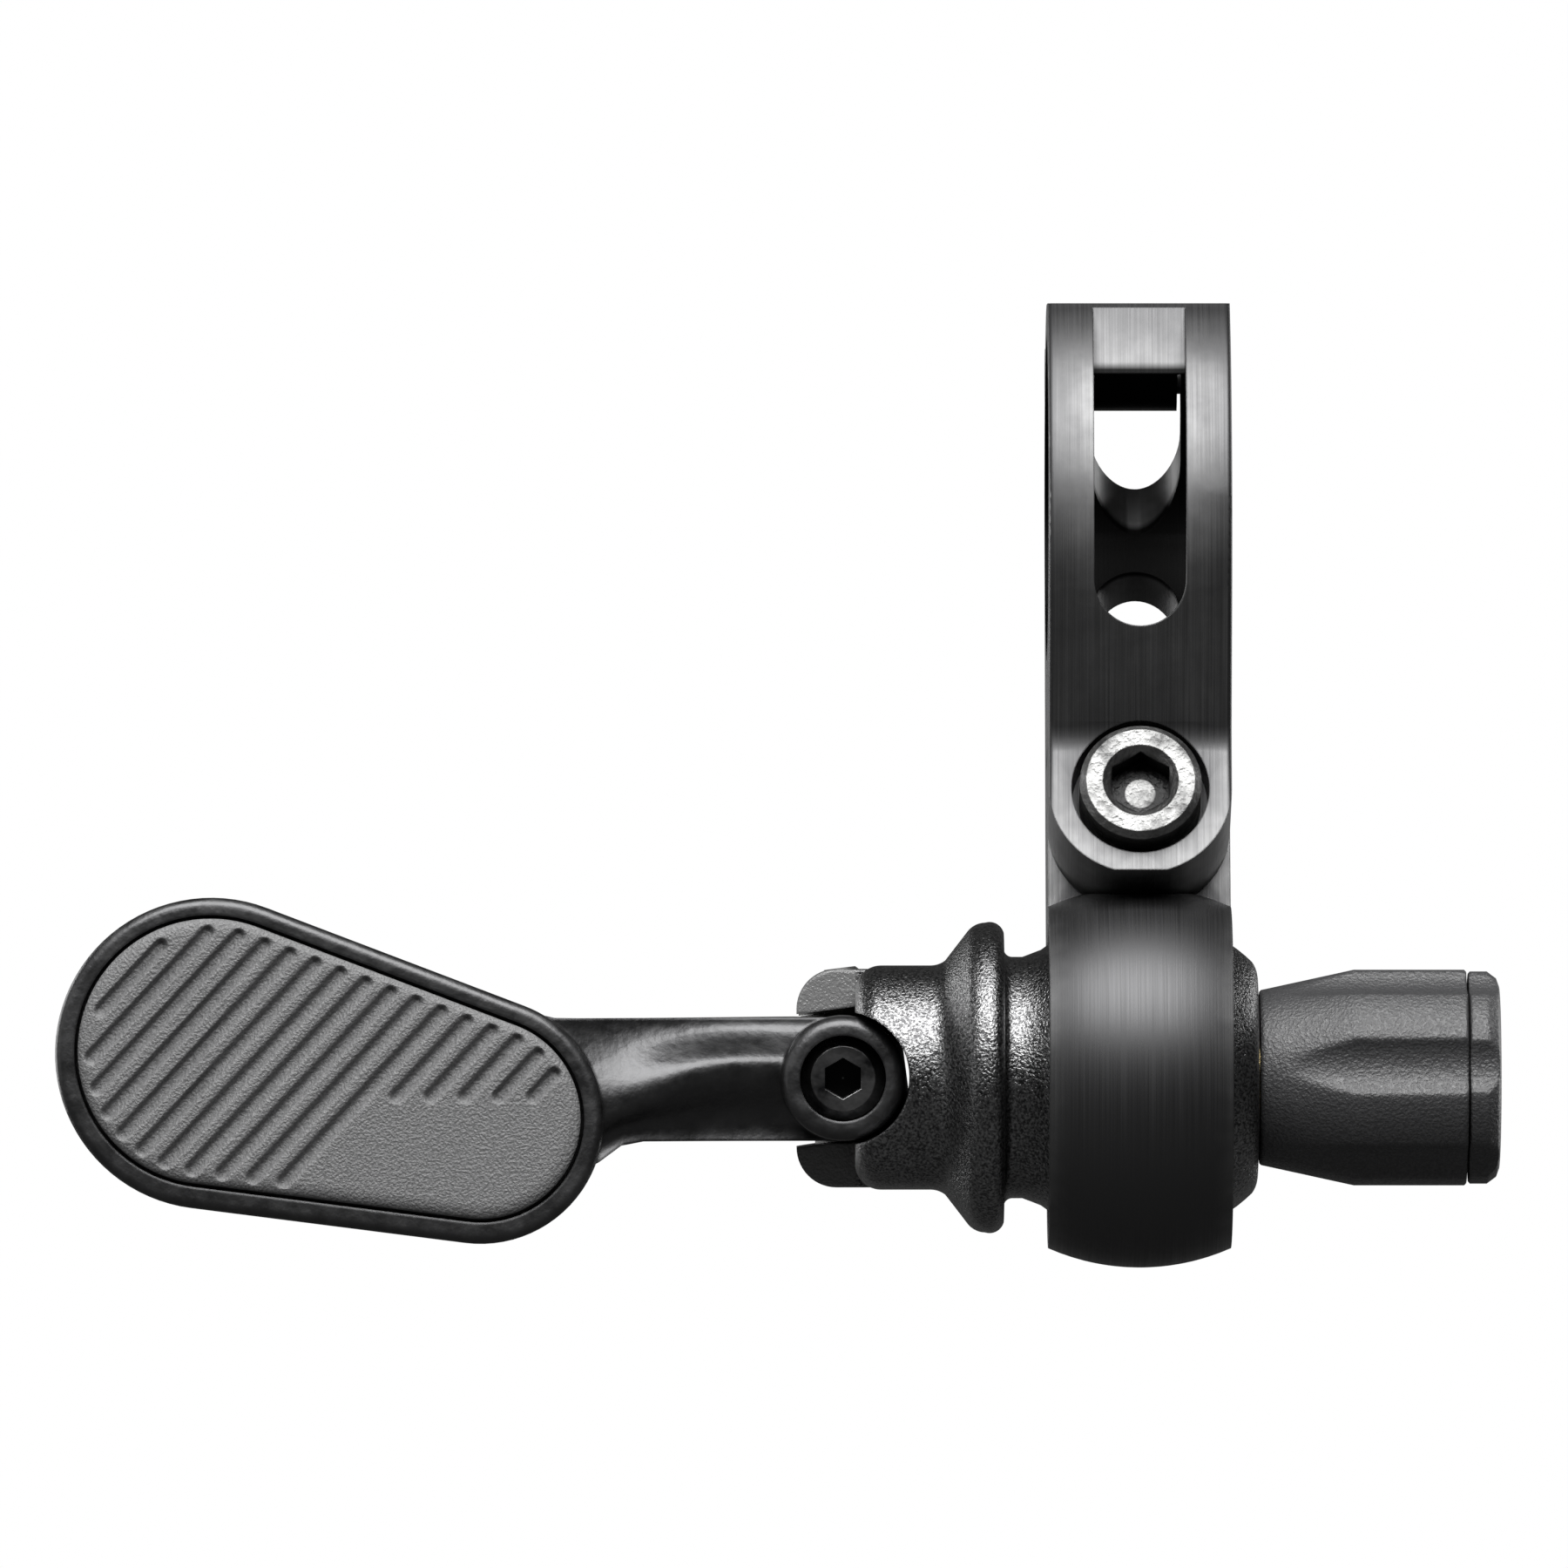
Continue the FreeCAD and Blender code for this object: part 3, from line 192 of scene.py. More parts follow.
def makeSandGrain():
    # small rounded bumps: a fine noise sharpened, plus a broader one
    group, start, end = newGroup(
        "sandGrain",
        [("Scale", "NodeSocketFloat", 2600.0), ("Coarse", "NodeSocketFloat", 0.3)],
        [("Height", "NodeSocketFloat"), ("Mask", "NodeSocketFloat")],
    )
    place = group.nodes.new("ShaderNodeTexCoord").outputs["Object"]
    fine = noiseNode(group, place, start.outputs["Scale"], 2.0, 0.55)
    broadScale = mathNode(group, "MULTIPLY", start.outputs["Scale"], grainShape["broadRatio"])
    broad = noiseNode(group, place, broadScale, 1.0, 0.5)
    above = mathNode(group, "SUBTRACT", fine, grainShape["cut"])
    sharp = mathNode(group, "MULTIPLY", above, grainShape["gain"], clamp=True)
    coarse = mathNode(group, "MULTIPLY", broad, start.outputs["Coarse"])
    group.links.new(mathNode(group, "ADD", sharp, coarse), end.inputs["Height"])
    group.links.new(sharp, end.inputs["Mask"])
    return group


def makeToolLines():
    # fine lines left by a turning tool: noise that changes quickly along X and hardly across it
    group, start, end = newGroup(
        "toolLines",
        [("Along", "NodeSocketFloat", 9000.0), ("Across", "NodeSocketFloat", 60.0)],
        [("Height", "NodeSocketFloat")],
    )
    place = group.nodes.new("ShaderNodeTexCoord").outputs["Object"]
    stretch = group.nodes.new("ShaderNodeVectorMath")
    stretch.operation = "MULTIPLY"
    joined = group.nodes.new("ShaderNodeCombineXYZ")
    group.links.new(start.outputs["Along"], joined.inputs[0])
    group.links.new(start.outputs["Across"], joined.inputs[1])
    group.links.new(start.outputs["Across"], joined.inputs[2])
    group.links.new(place, stretch.inputs[0])
    group.links.new(joined.outputs[0], stretch.inputs[1])
    lines = noiseNode(group, stretch.outputs[0], 1.0, 3.0, 0.6)
    group.links.new(lines, end.inputs["Height"])
    return group


def makeEdgeWear():
    # convex edges and mottling: how far a point stands out of its surroundings
    group, start, end = newGroup(
        "edgeWear",
        [("PatchScale", "NodeSocketFloat", 300.0), ("Amount", "NodeSocketFloat", 0.5)],
        [("Edge", "NodeSocketFloat"), ("Patch", "NodeSocketFloat")],
    )
    place = group.nodes.new("ShaderNodeTexCoord").outputs["Object"]
    point = group.nodes.new("ShaderNodeNewGeometry").outputs["Pointiness"]
    patch = noiseNode(group, place, start.outputs["PatchScale"], 4.0, 0.6)
    above = mathNode(group, "SUBTRACT", point, wearShape["cut"])
    raised = mathNode(group, "MULTIPLY", above, wearShape["gain"], clamp=True)
    broken = mathNode(group, "MULTIPLY", raised, patch, clamp=True)
    edge = mathNode(group, "MULTIPLY", broken, start.outputs["Amount"], clamp=True)
    group.links.new(edge, end.inputs["Edge"])
    group.links.new(patch, end.inputs["Patch"])
    return group


def makeAxisDistance():
    # distance of a point from the line through Point along Direction (a unit vector)
    group, start, end = newGroup(
        "axisDistance",
        [("Point", "NodeSocketVector", None), ("Direction", "NodeSocketVector", None)],
        [("Distance", "NodeSocketFloat"), ("Along", "NodeSocketFloat")],
    )
    place = group.nodes.new("ShaderNodeTexCoord").outputs["Object"]
    away = group.nodes.new("ShaderNodeVectorMath")
    away.operation = "SUBTRACT"
    group.links.new(place, away.inputs[0])
    group.links.new(start.outputs["Point"], away.inputs[1])
    turned = group.nodes.new("ShaderNodeVectorMath")
    turned.operation = "CROSS_PRODUCT"
    group.links.new(away.outputs[0], turned.inputs[0])
    group.links.new(start.outputs["Direction"], turned.inputs[1])
    length = group.nodes.new("ShaderNodeVectorMath")
    length.operation = "LENGTH"
    group.links.new(turned.outputs[0], length.inputs[0])
    along = group.nodes.new("ShaderNodeVectorMath")
    along.operation = "DOT_PRODUCT"
    group.links.new(away.outputs[0], along.inputs[0])
    group.links.new(start.outputs["Direction"], along.inputs[1])
    group.links.new(length.outputs["Value"], end.inputs["Distance"])
    group.links.new(along.outputs["Value"], end.inputs["Along"])
    return group


sandGrain = makeSandGrain()
axisDistance = makeAxisDistance()
toolLines = makeToolLines()
edgeWear = makeEdgeWear()


def startMaterial(name, metallic, roughness=None, coat=0.0):
    material = bpy.data.materials.new(name)
    material.use_nodes = True
    shader = material.node_tree.nodes["Principled BSDF"]
    shader.inputs["Metallic"].default_value = metallic
    if roughness is not None:
        shader.inputs["Roughness"].default_value = roughness
    shader.inputs["Coat Weight"].default_value = coat
    return material, material.node_tree, shader


def placeGroup(tree, group, **values):
    node = tree.nodes.new("ShaderNodeGroup")
    node.node_tree = group
    for label, value in values.items():
        node.inputs[label].default_value = value
    return node


def mixColour(tree, mask, dark, light):
    node = tree.nodes.new("ShaderNodeMix")
    node.data_type = "RGBA"
    node.inputs["A"].default_value = (*dark, 1)
    node.inputs["B"].default_value = (*light, 1)
    tree.links.new(mask, node.inputs["Factor"])
    return node.outputs["Result"]


def coverColour(tree, colour, mask, tone):
    # one plain tone laid over a colour where the mask is 1
    node = tree.nodes.new("ShaderNodeMix")
    node.data_type = "RGBA"
    node.inputs["B"].default_value = (*tone, 1)
    tree.links.new(colour, node.inputs["A"])
    tree.links.new(mask, node.inputs["Factor"])
    return node.outputs["Result"]


def mapRange(tree, value, low, high, fromLow=0.0, fromHigh=1.0):
    node = tree.nodes.new("ShaderNodeMapRange")
    node.inputs["From Min"].default_value = fromLow
    node.inputs["From Max"].default_value = fromHigh
    node.inputs["To Min"].default_value = low
    node.inputs["To Max"].default_value = high
    tree.links.new(value, node.inputs["Value"])
    return node.outputs["Result"]


edgeSamples = 6


def addBump(tree, shader, height, finish):
    # relief as deep as the finish says, over edges that only the shading rounds off
    bump = tree.nodes.new("ShaderNodeBump")
    bump.inputs["Distance"].default_value = finish["depth"]
    bump.inputs["Strength"].default_value = finish["strength"]
    tree.links.new(height, bump.inputs["Height"])
    if finish["edgeRound"] > 0:
        edge = tree.nodes.new("ShaderNodeBevel")
        edge.samples = edgeSamples
        edge.inputs["Radius"].default_value = finish["edgeRound"]
        tree.links.new(edge.outputs["Normal"], bump.inputs["Normal"])
    tree.links.new(bump.outputs["Normal"], shader.inputs["Normal"])


# Finishes: depths and rounded edges are in metres, scales in waves for each metre
noiseSpan = (0.3, 0.7)  # nearly all values of a noise lie between these

anodised = {
    "dark": (0.052, 0.052, 0.053), "worn": (0.17, 0.17, 0.17), "roughness": (0.42, 0.54),
    "patchScale": 420.0, "wear": 0.8, "depth": 0.000012, "strength": 0.6, "edgeRound": 0.00016,
    # painted shade: a near-black tone on the bore's wall round the bar's axis, fading out between these two
    # distances
    "bore": (0.004, 0.004, 0.004), "boreEdge": (0.0113, 0.0116),
}


def anodisedAluminium():
    material, tree, shader = startMaterial("blackAnodised", 1.0)
    lines = placeGroup(tree, toolLines)
    wear = placeGroup(tree, edgeWear, PatchScale=anodised["patchScale"], Amount=anodised["wear"])
    colour = mixColour(tree, wear.outputs["Edge"], anodised["dark"], anodised["worn"])
    # painted shade: the bore round the bar's axis is covered with a near-black tone
    reach = placeGroup(tree, axisDistance, Point=(0.0, 0.0, 0.0), Direction=(1.0, 0.0, 0.0))
    bore = mapRange(tree, reach.outputs["Distance"], 1.0, 0.0, *anodised["boreEdge"])
    tree.links.new(coverColour(tree, colour, bore, anodised["bore"]), shader.inputs["Base Color"])
    rough = mapRange(tree, lines.outputs["Height"], *anodised["roughness"], *noiseSpan)
    tree.links.new(rough, shader.inputs["Roughness"])
    addBump(tree, shader, lines.outputs["Height"], anodised)
    return material


grained = {
    "dark": (0.035, 0.035, 0.036), "light": (0.200, 0.200, 0.201), "roughness": 0.30,
    "scale": 5200.0, "coarse": 0.25, "depth": 0.000026, "strength": 1.0, "edgeRound": 0.00030,
    "ears": (0.12, 0.12, 0.12), "earMetal": 0.1, "earsFrom": -19.55 * mm, "earsFull": -19.95 * mm,
}


def grainedCoat():
    # the ears' faces are a paler, duller grey than the rest of the coat
    material, tree, shader = startMaterial("grainedCoat", 1.0, grained["roughness"])
    grain = placeGroup(tree, sandGrain, Scale=grained["scale"], Coarse=grained["coarse"])
    colour = mixColour(tree, grain.outputs["Mask"], grained["dark"], grained["light"])
    place = tree.nodes.new("ShaderNodeTexCoord").outputs["Object"]
    split = tree.nodes.new("ShaderNodeSeparateXYZ")
    tree.links.new(place, split.inputs[0])
    ears = mapRange(tree, split.outputs["X"], 1.0, 0.0, grained["earsFull"], grained["earsFrom"])
    tree.links.new(coverColour(tree, colour, ears, grained["ears"]), shader.inputs["Base Color"])
    tree.links.new(mapRange(tree, ears, 1.0, grained["earMetal"]), shader.inputs["Metallic"])
    addBump(tree, shader, grain.outputs["Height"], grained)
    return material


painted = {
    "dark": (0.030, 0.030, 0.031), "light": (0.080, 0.080, 0.081), "roughness": (0.38, 0.52), "coat": 0.1,
    "patchScale": 650.0, "scale": 1500.0, "coarse": 1.2,
    "depth": 0.000025, "strength": 0.6, "edgeRound": 0.00030,
}


def semiGlossBlack():
    material, tree, shader = startMaterial("semiGlossBlack", 1.0, coat=painted["coat"])
    wear = placeGroup(tree, edgeWear, PatchScale=painted["patchScale"])
    grain = placeGroup(tree, sandGrain, Scale=painted["scale"], Coarse=painted["coarse"])
    colour = mixColour(tree, wear.outputs["Patch"], painted["dark"], painted["light"])
    tree.links.new(colour, shader.inputs["Base Color"])
    rough = mapRange(tree, wear.outputs["Patch"], *painted["roughness"], *noiseSpan)
    tree.links.new(rough, shader.inputs["Roughness"])
    addBump(tree, shader, grain.outputs["Height"], painted)
    return material


rubberPad = {
    "dark": (0.080, 0.080, 0.081), "light": (0.125, 0.125, 0.126), "roughness": 0.55,
    "scale": 5200.0, "coarse": 0.5, "depth": 0.00005, "strength": 0.9, "edgeRound": 0.0,
}
bushPlastic = {
    "dark": (0.05, 0.05, 0.05), "light": (0.11, 0.11, 0.10), "roughness": 0.55,
    "scale": 2400.0, "coarse": 0.4, "depth": 0.00002, "strength": 0.5, "edgeRound": 0.0,
}


def dullGrain(name, finish):
    # rubber and plain plastic: one roughness, grain in colour and relief
    material, tree, shader = startMaterial(name, 0.0, finish["roughness"])
    grain = placeGroup(tree, sandGrain, Scale=finish["scale"], Coarse=finish["coarse"])
    colour = mixColour(tree, grain.outputs["Mask"], finish["dark"], finish["light"])
    tree.links.new(colour, shader.inputs["Base Color"])
    addBump(tree, shader, grain.outputs["Height"], finish)
    return material


gripPlastic = {
    "dark": (0.018, 0.018, 0.019), "light": (0.034, 0.034, 0.035), "roughness": (0.42, 0.54),
    "scale": 4600.0, "coarse": 0.6, "depth": 0.00004, "strength": 0.8, "edgeRound": 0.00030,
}


def adjusterPlastic():
    material, tree, shader = startMaterial("adjusterPlastic", 0.0)
    grain = placeGroup(tree, sandGrain, Scale=gripPlastic["scale"], Coarse=gripPlastic["coarse"])
    colour = mixColour(tree, grain.outputs["Mask"], gripPlastic["dark"], gripPlastic["light"])
    tree.links.new(colour, shader.inputs["Base Color"])
    smooth, dull = gripPlastic["roughness"]
    tree.links.new(mapRange(tree, grain.outputs["Mask"], dull, smooth), shader.inputs["Roughness"])
    addBump(tree, shader, grain.outputs["Height"], gripPlastic)
    return material


metalTexture = {
    "pitRatio": 4, "coarse": 0.8, "patchSpan": (0.32, 0.56), "strength": 0.7, "edgeRound": 0.00012,
}
steelTones = {"dark": (0.045, 0.045, 0.045), "light": (0.15, 0.15, 0.148), "roughness": (0.38, 0.54)}
boltSteel = {**metalTexture, **steelTones, "patchScale": 520.0, "depth": 0.00005}
pinSteel = {**metalTexture, **steelTones, "patchScale": 300.0, "depth": 0.000008}
darkSteel = {
    **metalTexture, "dark": (0.020, 0.020, 0.021), "light": (0.22, 0.22, 0.22), "roughness": (0.24, 0.36),
    "patchScale": 260.0, "depth": 0.00002,
}
turnedBrass = {
    **metalTexture, "dark": (0.42, 0.31, 0.13), "light": (0.68, 0.53, 0.26), "roughness": (0.25, 0.40),
    "patchScale": 350.0, "depth": 0.000008,
}


def metalFinish(name, metal):
    material, tree, shader = startMaterial(name, 1.0)
    wear = placeGroup(tree, edgeWear, PatchScale=metal["patchScale"])
    pitScale = metal["patchScale"] * metal["pitRatio"]
    pits = placeGroup(tree, sandGrain, Scale=pitScale, Coarse=metal["coarse"])
    spread = mapRange(tree, wear.outputs["Patch"], 0.0, 1.0, *metal["patchSpan"])
    colour = mixColour(tree, spread, metal["dark"], metal["light"])
    tree.links.new(colour, shader.inputs["Base Color"])
    smooth, dull = metal["roughness"]
    rough = mapRange(tree, wear.outputs["Patch"], dull, smooth, *noiseSpan)
    tree.links.new(rough, shader.inputs["Roughness"])
    addBump(tree, shader, pits.outputs["Height"], metal)
    return material


# Painted shade in drive sockets: a point on the screw's axis, the socket's radius, where its shade starts and
# its bright floor
boltSocket = {
    "point": (0, -12.5 * mm, -20.4 * mm), "tilt": 21.5, "wall": 2.45 * mm, "depth": -1.1 * mm,
    "glint": 1.0 * mm, "tone": (0.02, 0.02, 0.02),
}
screwSocket = {
    "point": (-20.76 * mm, -12.7 * mm, -40.67 * mm), "tilt": 0.0, "wall": 1.55 * mm, "depth": 0.35 * mm,
    "glint": 0.0, "tone": (0.012, 0.012, 0.012),
}
socketBlend = {"wall": 0.03, "depth": 0.3 * mm, "glint": 0.1 * mm}


def socketShade(material, socket):
    # painted shade: darkens a metal finish inside its drive socket, where shadow gathers
    tree = material.node_tree
    shader = tree.nodes["Principled BSDF"]
    colour = shader.inputs["Base Color"].links[0].from_socket
    tilt = math.radians(socket["tilt"])
    axis = (0, math.cos(tilt), -math.sin(tilt))
    reach = placeGroup(tree, axisDistance, Point=socket["point"], Direction=axis)
    away, along = reach.outputs["Distance"], reach.outputs["Along"]
    wallFrom, wallTo = socket["wall"] * (1 - socketBlend["wall"]), socket["wall"] * (1 + socketBlend["wall"])
    near = mapRange(tree, away, 1.0, 0.0, wallFrom, wallTo)
    deep = mapRange(tree, along, 0.0, 1.0, socket["depth"], socket["depth"] + socketBlend["depth"])
    glint = mapRange(tree, away, 0.0, 1.0, socket["glint"], socket["glint"] + socketBlend["glint"])
    # painted shade mask: inside the socket's wall and past its depth, but not on the floor round the axis
    inside = mathNode(tree, "MULTIPLY", mathNode(tree, "MULTIPLY", near, deep), glint)
    # the tone laid here is the painted shade's colour
    tree.links.new(coverColour(tree, colour, inside, socket["tone"]), shader.inputs["Base Color"])
    return material


# A modifier on each CAD node joins the triangles that meet and smooths flat angles. Ten triangles drop out
smoothing = {"joinWithin": 0.000001, "sharpAngle": 28}


def makeSmoother():
    tree = bpy.data.node_groups.new("mergeAndSmooth", "GeometryNodeTree")
    tree.interface.new_socket("Geometry", in_out="INPUT", socket_type="NodeSocketGeometry")
    tree.interface.new_socket("Geometry", in_out="OUTPUT", socket_type="NodeSocketGeometry")
    start = tree.nodes.new("NodeGroupInput")
    end = tree.nodes.new("NodeGroupOutput")
    merge = tree.nodes.new("GeometryNodeMergeByDistance")
    merge.inputs["Distance"].default_value = smoothing["joinWithin"]
    everyFace = tree.nodes.new("GeometryNodeSetShadeSmooth")
    everyFace.domain = "FACE"
    sharpEdge = tree.nodes.new("GeometryNodeSetShadeSmooth")
    sharpEdge.domain = "EDGE"
    sharpEdge.inputs["Shade Smooth"].default_value = False
    angle = tree.nodes.new("GeometryNodeInputMeshEdgeAngle")
    steep = tree.nodes.new("FunctionNodeCompare")
    steep.data_type = "FLOAT"
    steep.operation = "GREATER_THAN"
    steep.inputs["B"].default_value = math.radians(smoothing["sharpAngle"])
    tree.links.new(start.outputs[0], merge.inputs["Geometry"])
    tree.links.new(merge.outputs["Geometry"], everyFace.inputs["Geometry"])
    tree.links.new(everyFace.outputs["Geometry"], sharpEdge.inputs["Geometry"])
    tree.links.new(angle.outputs["Unsigned Angle"], steep.inputs["A"])
    tree.links.new(steep.outputs["Result"], sharpEdge.inputs["Selection"])
    tree.links.new(sharpEdge.outputs["Geometry"], end.inputs[0])
    return tree


def dressCadNodes():
    smoother = makeSmoother()
    clampFinish = anodisedAluminium()
    pinFinish = metalFinish("pinSteel", pinSteel)
    polymer = dullGrain("bushPolymer", bushPlastic)
    finishes = {
        "clamp_front_strap": clampFinish,
        "clamp_rear_body": clampFinish,
        "clamp_bolt": socketShade(metalFinish("boltSteel", boltSteel), boltSocket),
        "strap_hinge_pin": pinFinish,
        "ball_body": grainedCoat(),
        "pivot_pin": pinFinish,
        "upper_thrust_washer": polymer,
        "lower_thrust_washer": polymer,
        "upper_pivot_bush": polymer,
        "lower_pivot_bush": polymer,
        "lever": semiGlossBlack(),
        "cable_pinch_screw": socketShade(metalFinish("darkSteel", darkSteel), screwSocket),
        "thumb_pad": padFinish,
        "adjuster_stem": metalFinish("turnedBrass", turnedBrass),
        "adjuster_o_ring": polymer,
        "adjuster_grip": gripFinish,
        "adjuster_end_ring": gripFinish,
    }
    for name, material in finishes.items():
        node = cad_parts[name]
        for slot in node.material_slots:
            slot.material = material
        node.modifiers.new("smooth", "NODES").node_group = smoother
    print("finishes:", len(finishes))


# Skins worked out on a grid of rows, whose columns go round
weldDistance = 1e-7


def ringFaces(rows, columns, closed=False):
    # a quad from each point to the next row and column, where a closed loop joins its last row to the first
    row, column = np.meshgrid(np.arange(rows if closed else rows - 1), np.arange(columns), indexing="ij")
    below, after = (row + 1) % rows, (column + 1) % columns
    here, under = row * columns, below * columns
    corners = [here + column, under + column, under + after, here + after]
    return np.stack(corners, axis=-1).reshape(-1, 4)


def makeSkin(name, points, faces, material):
    mesh = bpy.data.meshes.new(name)
    mesh.from_pydata(points.reshape(-1, 3).tolist(), [], faces.tolist())
    cleaner = bmesh.new()
    cleaner.from_mesh(mesh)
    bmesh.ops.remove_doubles(cleaner, verts=cleaner.verts, dist=weldDistance)
    bmesh.ops.recalc_face_normals(cleaner, faces=cleaner.faces)
    cleaner.to_mesh(mesh)
    cleaner.free()
    mesh.shade_smooth()
    mesh.materials.append(material)
    skin = bpy.data.objects.new(name, mesh)
    bpy.context.scene.collection.objects.link(skin)
    return skin


# Thumb pad: one closed skin with a rounded border and soft grooves, in mm
padShape = {
    "bigCircle": (-64.8, 1.92, 9.25), "smallCircle": (-46.0, -2.78, 6.96),
    "face": -16.95, "foot": -14.9, "borderRound": 1.15, "borderDrop": 0.55, "borderFull": 0.98,
}
padGrooves = {
    "angle": 47.0, "pitch": 1.74, "count": 16, "firstOffset": -56.24, "margin": 0.95,
    "halfWidth": 0.58, "depth": 0.52, "steepness": 1.45, "firstShare": (0.06, 0.94),
    "shortCount": 5, "shortFoot": -1.2, "leastLength": 0.1, "dotLength": 0.05,
}
padGrid = {"around": 560, "across": 150, "crowding": 1.15, "side": 4, "back": 3, "outlinePoints": 4000}


def taperedOutline(inset, count):
    # evenly spaced points about two circles of different size, with the spine point of each
    bigX, bigZ, bigR = padShape["bigCircle"]
    smallX, smallZ, smallR = padShape["smallCircle"]
    big = np.array([bigX, bigZ])
    small = np.array([smallX, smallZ])
    bigR -= inset
    smallR -= inset
    run = small - big
    heading = math.atan2(run[1], run[0])
    spread = math.acos((bigR - smallR) / np.hypot(*run))
    straight = np.hypot(*run) * math.sin(spread)
    lengths = np.array([2 * spread * smallR, straight, 2 * (math.pi - spread) * bigR, straight])
    ends = np.concatenate([[0], np.cumsum(lengths)])
    along = np.arange(count) / count * ends[-1]
    leg = np.clip(np.searchsorted(ends, along, side="right") - 1, 0, 3)
    share = (along - ends[leg]) / lengths[leg]
    farTurn = 2 * (math.pi - spread)
    turn = np.select(
        [leg == 0, leg == 1, leg == 2],
        [heading + spread * (1 - 2 * share), heading - spread, heading - spread - share * farTurn],
        heading + spread,
    )
    toSmall = np.select([leg == 0, leg == 1, leg == 2], [1.0, 1 - share, 0.0], share)
    spine = big + toSmall[:, None] * run
    radius = bigR + toSmall * (smallR - bigR)
    edge = spine + radius[:, None] * np.column_stack([np.cos(turn), np.sin(turn)])
    return edge, spine


def grooveEnds():
    # each groove runs between the two places where its line crosses an inset outline
    angle = math.radians(padGrooves["angle"])
    along = np.array([math.cos(angle), math.sin(angle)])
    side = np.array([math.sin(angle), -math.cos(angle)])
    outline, _ = taperedOutline(padGrooves["margin"], padGrid["outlinePoints"])
    offsets = outline @ side
    ends = []
    for index in range(padGrooves["count"]):
        gap = offsets - (padGrooves["firstOffset"] + index * padGrooves["pitch"])
        crossings = np.nonzero(gap * np.roll(gap, -1) <= 0)[0]
        if len(crossings) < 2:
            continue
        points = outline[crossings]
        low, high = points[np.argmin(points @ along)], points[np.argmax(points @ along)]
        if index == 0:
            chord = high - low
            low, high = low + chord * padGrooves["firstShare"][0], low + chord * padGrooves["firstShare"][1]
        if index >= padGrooves["count"] - padGrooves["shortCount"]:
            foot = high - along * ((high[1] - padGrooves["shortFoot"]) / along[1])
            longEnough = (high - foot) @ along > padGrooves["leastLength"]
            low = foot if longEnough else high - along * padGrooves["dotLength"]
        ends.append((low, high))
    return ends


def grooveDepth(x, z, grooves):
    # soft walls and a narrow flat floor across each groove, as deep as the nearest groove makes it
    depth = np.zeros_like(x)
    for low, high in grooves:
        run = high - low
        share = np.clip(((x - low[0]) * run[0] + (z - low[1]) * run[1]) / (run @ run), 0, 1)
        away = np.hypot(x - low[0] - share * run[0], z - low[1] - share * run[1])
        wall = np.clip(padGrooves["steepness"] * (1 - away / padGrooves["halfWidth"]), 0, 1)
        depth = np.maximum(depth, padGrooves["depth"] * wall ** 2 * (3 - 2 * wall))
    return depth


def makePadSkin(material):
    # rows run from the spine out over the face, down the side and back to the spine
    edge, spine = taperedOutline(0.0, padGrid["around"])
    out = 1 - (1 - np.linspace(0, 1, padGrid["across"])) ** padGrid["crowding"]
    x = spine[:, 0] + out[:, None] * (edge[:, 0] - spine[:, 0])
    z = spine[:, 1] + out[:, None] * (edge[:, 1] - spine[:, 1])
    inward = (1 - out[:, None]) * np.hypot(*(edge - spine).T)
    bend = np.clip(1 - inward / padShape["borderRound"], 0, 1)
    drop = padShape["borderDrop"] * (1 - np.sqrt(1 - padShape["borderFull"] * bend ** 2))
    grooves = grooveEnds()
    y = padShape["face"] + drop + grooveDepth(x, z, grooves)
    front = np.stack([x, y, z], axis=-1)
    down = np.linspace(0, 1, padGrid["side"] + 1)[1:]
    sideY = front[-1, :, 1] + down[:, None] * (padShape["foot"] - front[-1, :, 1])
    flat = np.ones_like(down)[:, None]
    side = np.stack([flat * edge[:, 0], sideY, flat * edge[:, 1]], axis=-1)
    inner = np.linspace(1, 0, padGrid["back"] + 1)[1:]
    backX = spine[:, 0] + inner[:, None] * (edge[:, 0] - spine[:, 0])
    backZ = spine[:, 1] + inner[:, None] * (edge[:, 1] - spine[:, 1])
    back = np.stack([backX, np.full_like(backX, padShape["foot"]), backZ], axis=-1)
    grid = np.concatenate([front, side, back]) * mm
    grid[..., 2] += cableLine.z
    skin = makeSkin("padSkin", grid, ringFaces(*grid.shape[:2]), material)
    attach(skin, "lever_arm")
    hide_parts("thumb_pad")
    print("pad skin:", len(skin.data.polygons), "faces,", len(grooves), "grooves")


# Adjuster: grip and end ring with six soft finger grooves, in mm
gripRadius = 7.55
gripSections = {
    "adjuster_grip": [
        (8.38, 3.03), (8.38, 6.0), (8.5, 6.13), (15.0, gripRadius), (22.72, gripRadius), (22.85, 7.42),
        (22.85, 4.13), (15.47, 4.13), (15.47, 3.03),
    ],
    "adjuster_end_ring": [
        (22.85, 4.13), (22.85, 6.05), (23.0, 6.05), (23.0, 7.3), (23.12, 7.43), (24.3, 7.43),
        (24.95, 6.95), (25.15, 6.4), (25.15, 4.13),
    ],
}
fingerGrooves = {
    "count": 6, "first": 23.0, "radius": 3.4, "depth": 0.85, "fullX": 14.2, "startX": 10.4,
    "lean": 0.13, "runOut": 0.5, "softness": 0.10, "outsideFrom": 5.5, "sharpAngle": 40,
    "step": 0.16, "around": 360,
}


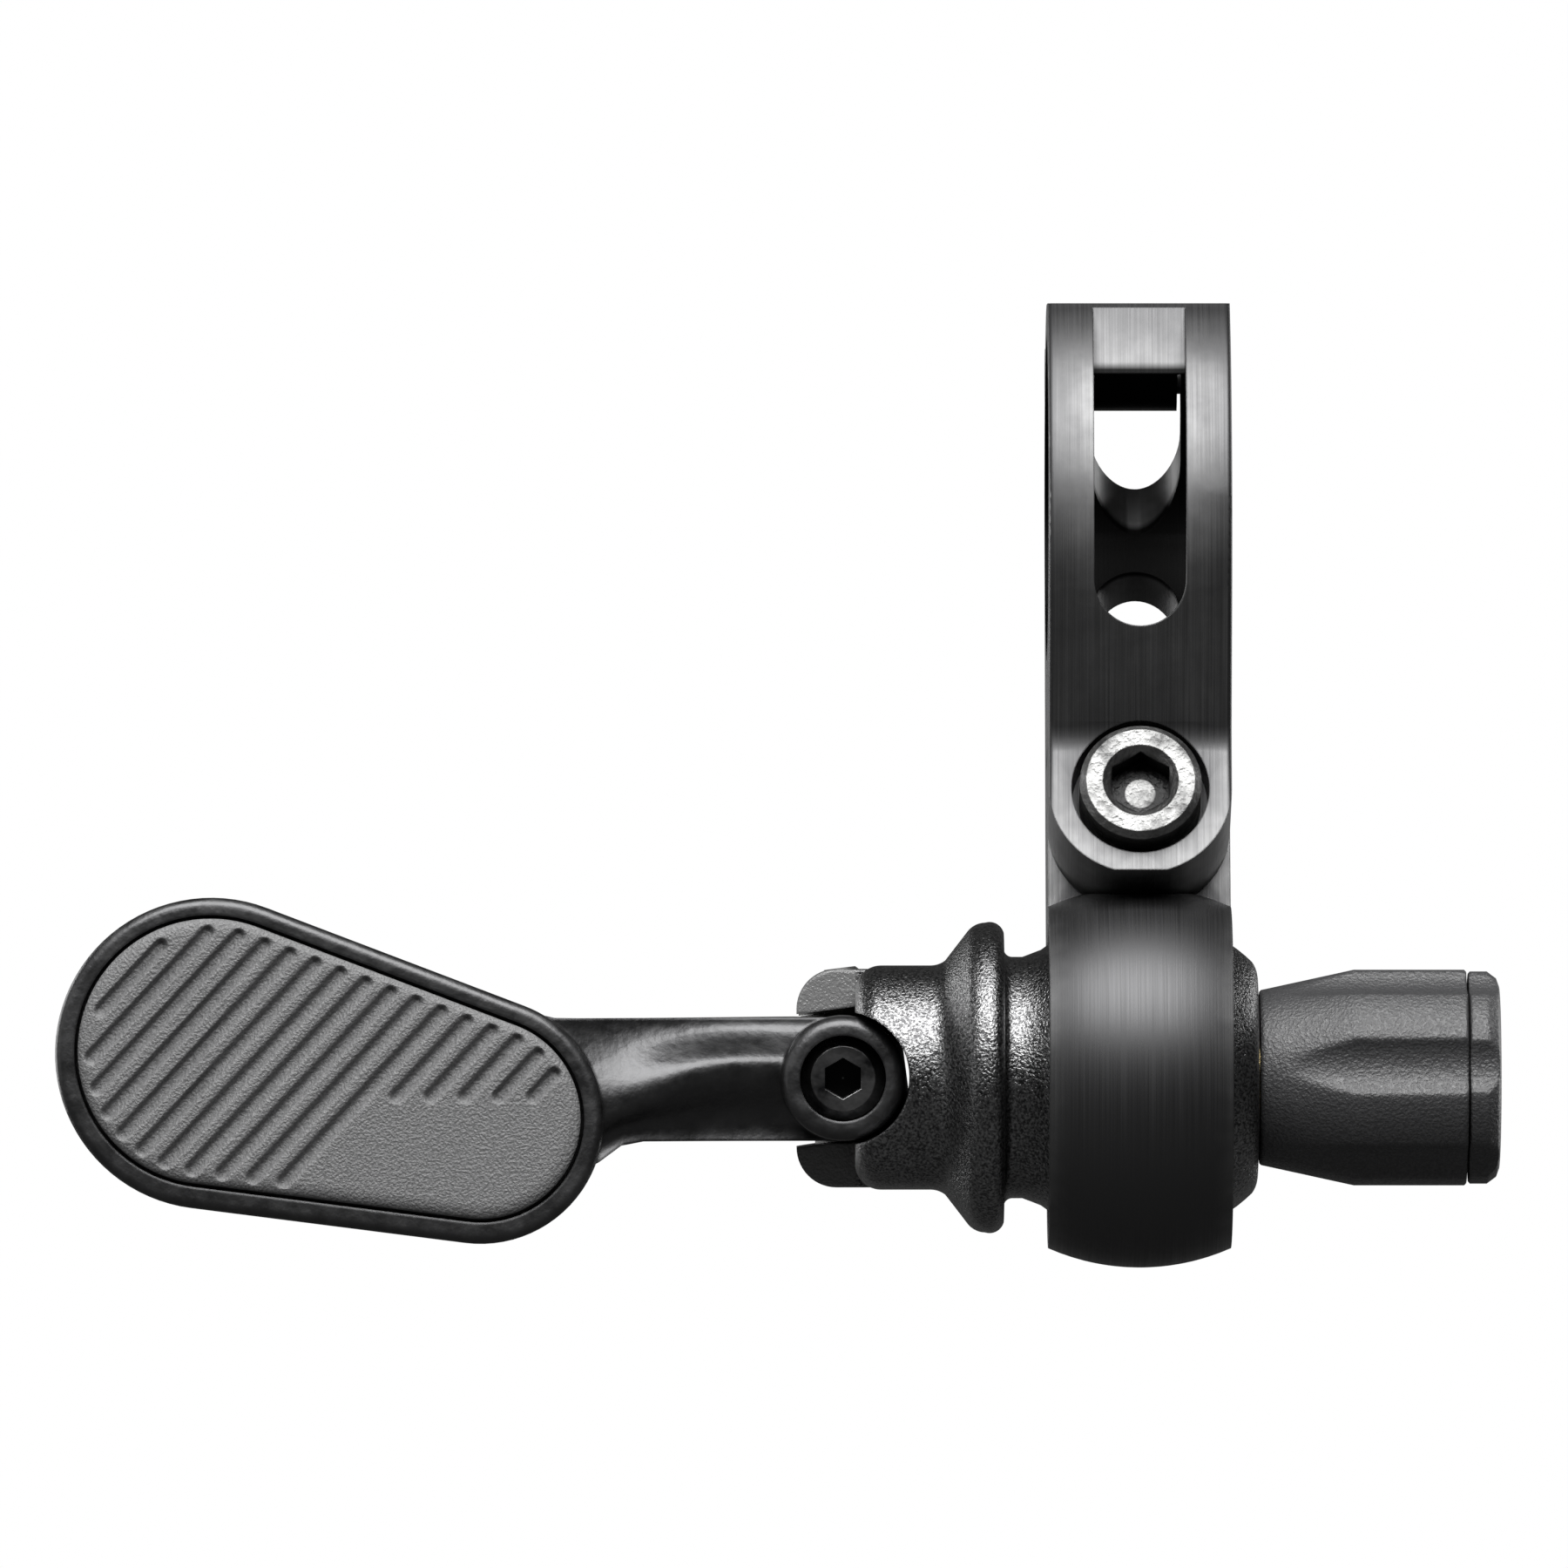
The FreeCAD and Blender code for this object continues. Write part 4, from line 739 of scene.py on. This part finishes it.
def grooveRadius(x, turn):
    # distance from the cable line to a rod laid outside it: c cos(a) - sqrt(r r - (c sin(a))^2)
    pitch = 2 * np.pi / fingerGrooves["count"]
    off = turn - math.radians(fingerGrooves["first"])
    off = off - pitch * np.round(off / pitch)
    reach = gripRadius - fingerGrooves["depth"] + fingerGrooves["radius"]
    back = np.clip((fingerGrooves["fullX"] - x) / (fingerGrooves["fullX"] - fingerGrooves["startX"]), 0, 2)
    centre = reach - fingerGrooves["lean"] * back + fingerGrooves["runOut"] * np.clip(back - 1, 0, 1)
    inside = fingerGrooves["radius"] ** 2 - (centre * np.sin(off)) ** 2
    return np.where(inside > 0, centre * np.cos(off) - np.sqrt(np.clip(inside, 0, None)), 10 * gripRadius)


def makeGripSkins(material):
    # each section is a closed loop of (x, radius), turned about the cable line
    turn = np.arange(fingerGrooves["around"]) / fingerGrooves["around"] * 2 * np.pi
    for node, corners in gripSections.items():
        loop = []
        for start, end in zip(corners, corners[1:] + corners[:1]):
            parts = max(1, int(math.dist(start, end) / fingerGrooves["step"]))
            loop += [np.array(start) + (np.array(end) - np.array(start)) * k / parts for k in range(parts)]
        loop = np.array(loop)
        x = loop[:, 0][:, None] + 0 * turn
        radius = loop[:, 1][:, None] + 0 * turn
        groove = grooveRadius(x, turn)
        soft = (radius + groove - np.sqrt((radius - groove) ** 2 + fingerGrooves["softness"] ** 2)) / 2
        radius = np.where(radius > fingerGrooves["outsideFrom"], soft, radius)
        points = np.stack([x * mm, cableLine.y - radius * mm * np.sin(turn),
                           cableLine.z + radius * mm * np.cos(turn)], axis=-1)
        skin = makeSkin(node + "Skin", points, ringFaces(*x.shape, closed=True), material)
        skin.data.set_sharp_from_angle(angle=math.radians(fingerGrooves["sharpAngle"]))
        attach(skin, "adjuster_knob")
        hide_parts(node)
    print("grip skins:", len(gripSections))


makeCamera()
makeLight()
makeFloor()
padFinish = dullGrain("padRubber", rubberPad)
gripFinish = adjusterPlastic()
dressCadNodes()
makePadSkin(padFinish)
makeGripSkins(gripFinish)
bpy.context.scene.view_settings.view_transform = "Standard"
print("scene ready")
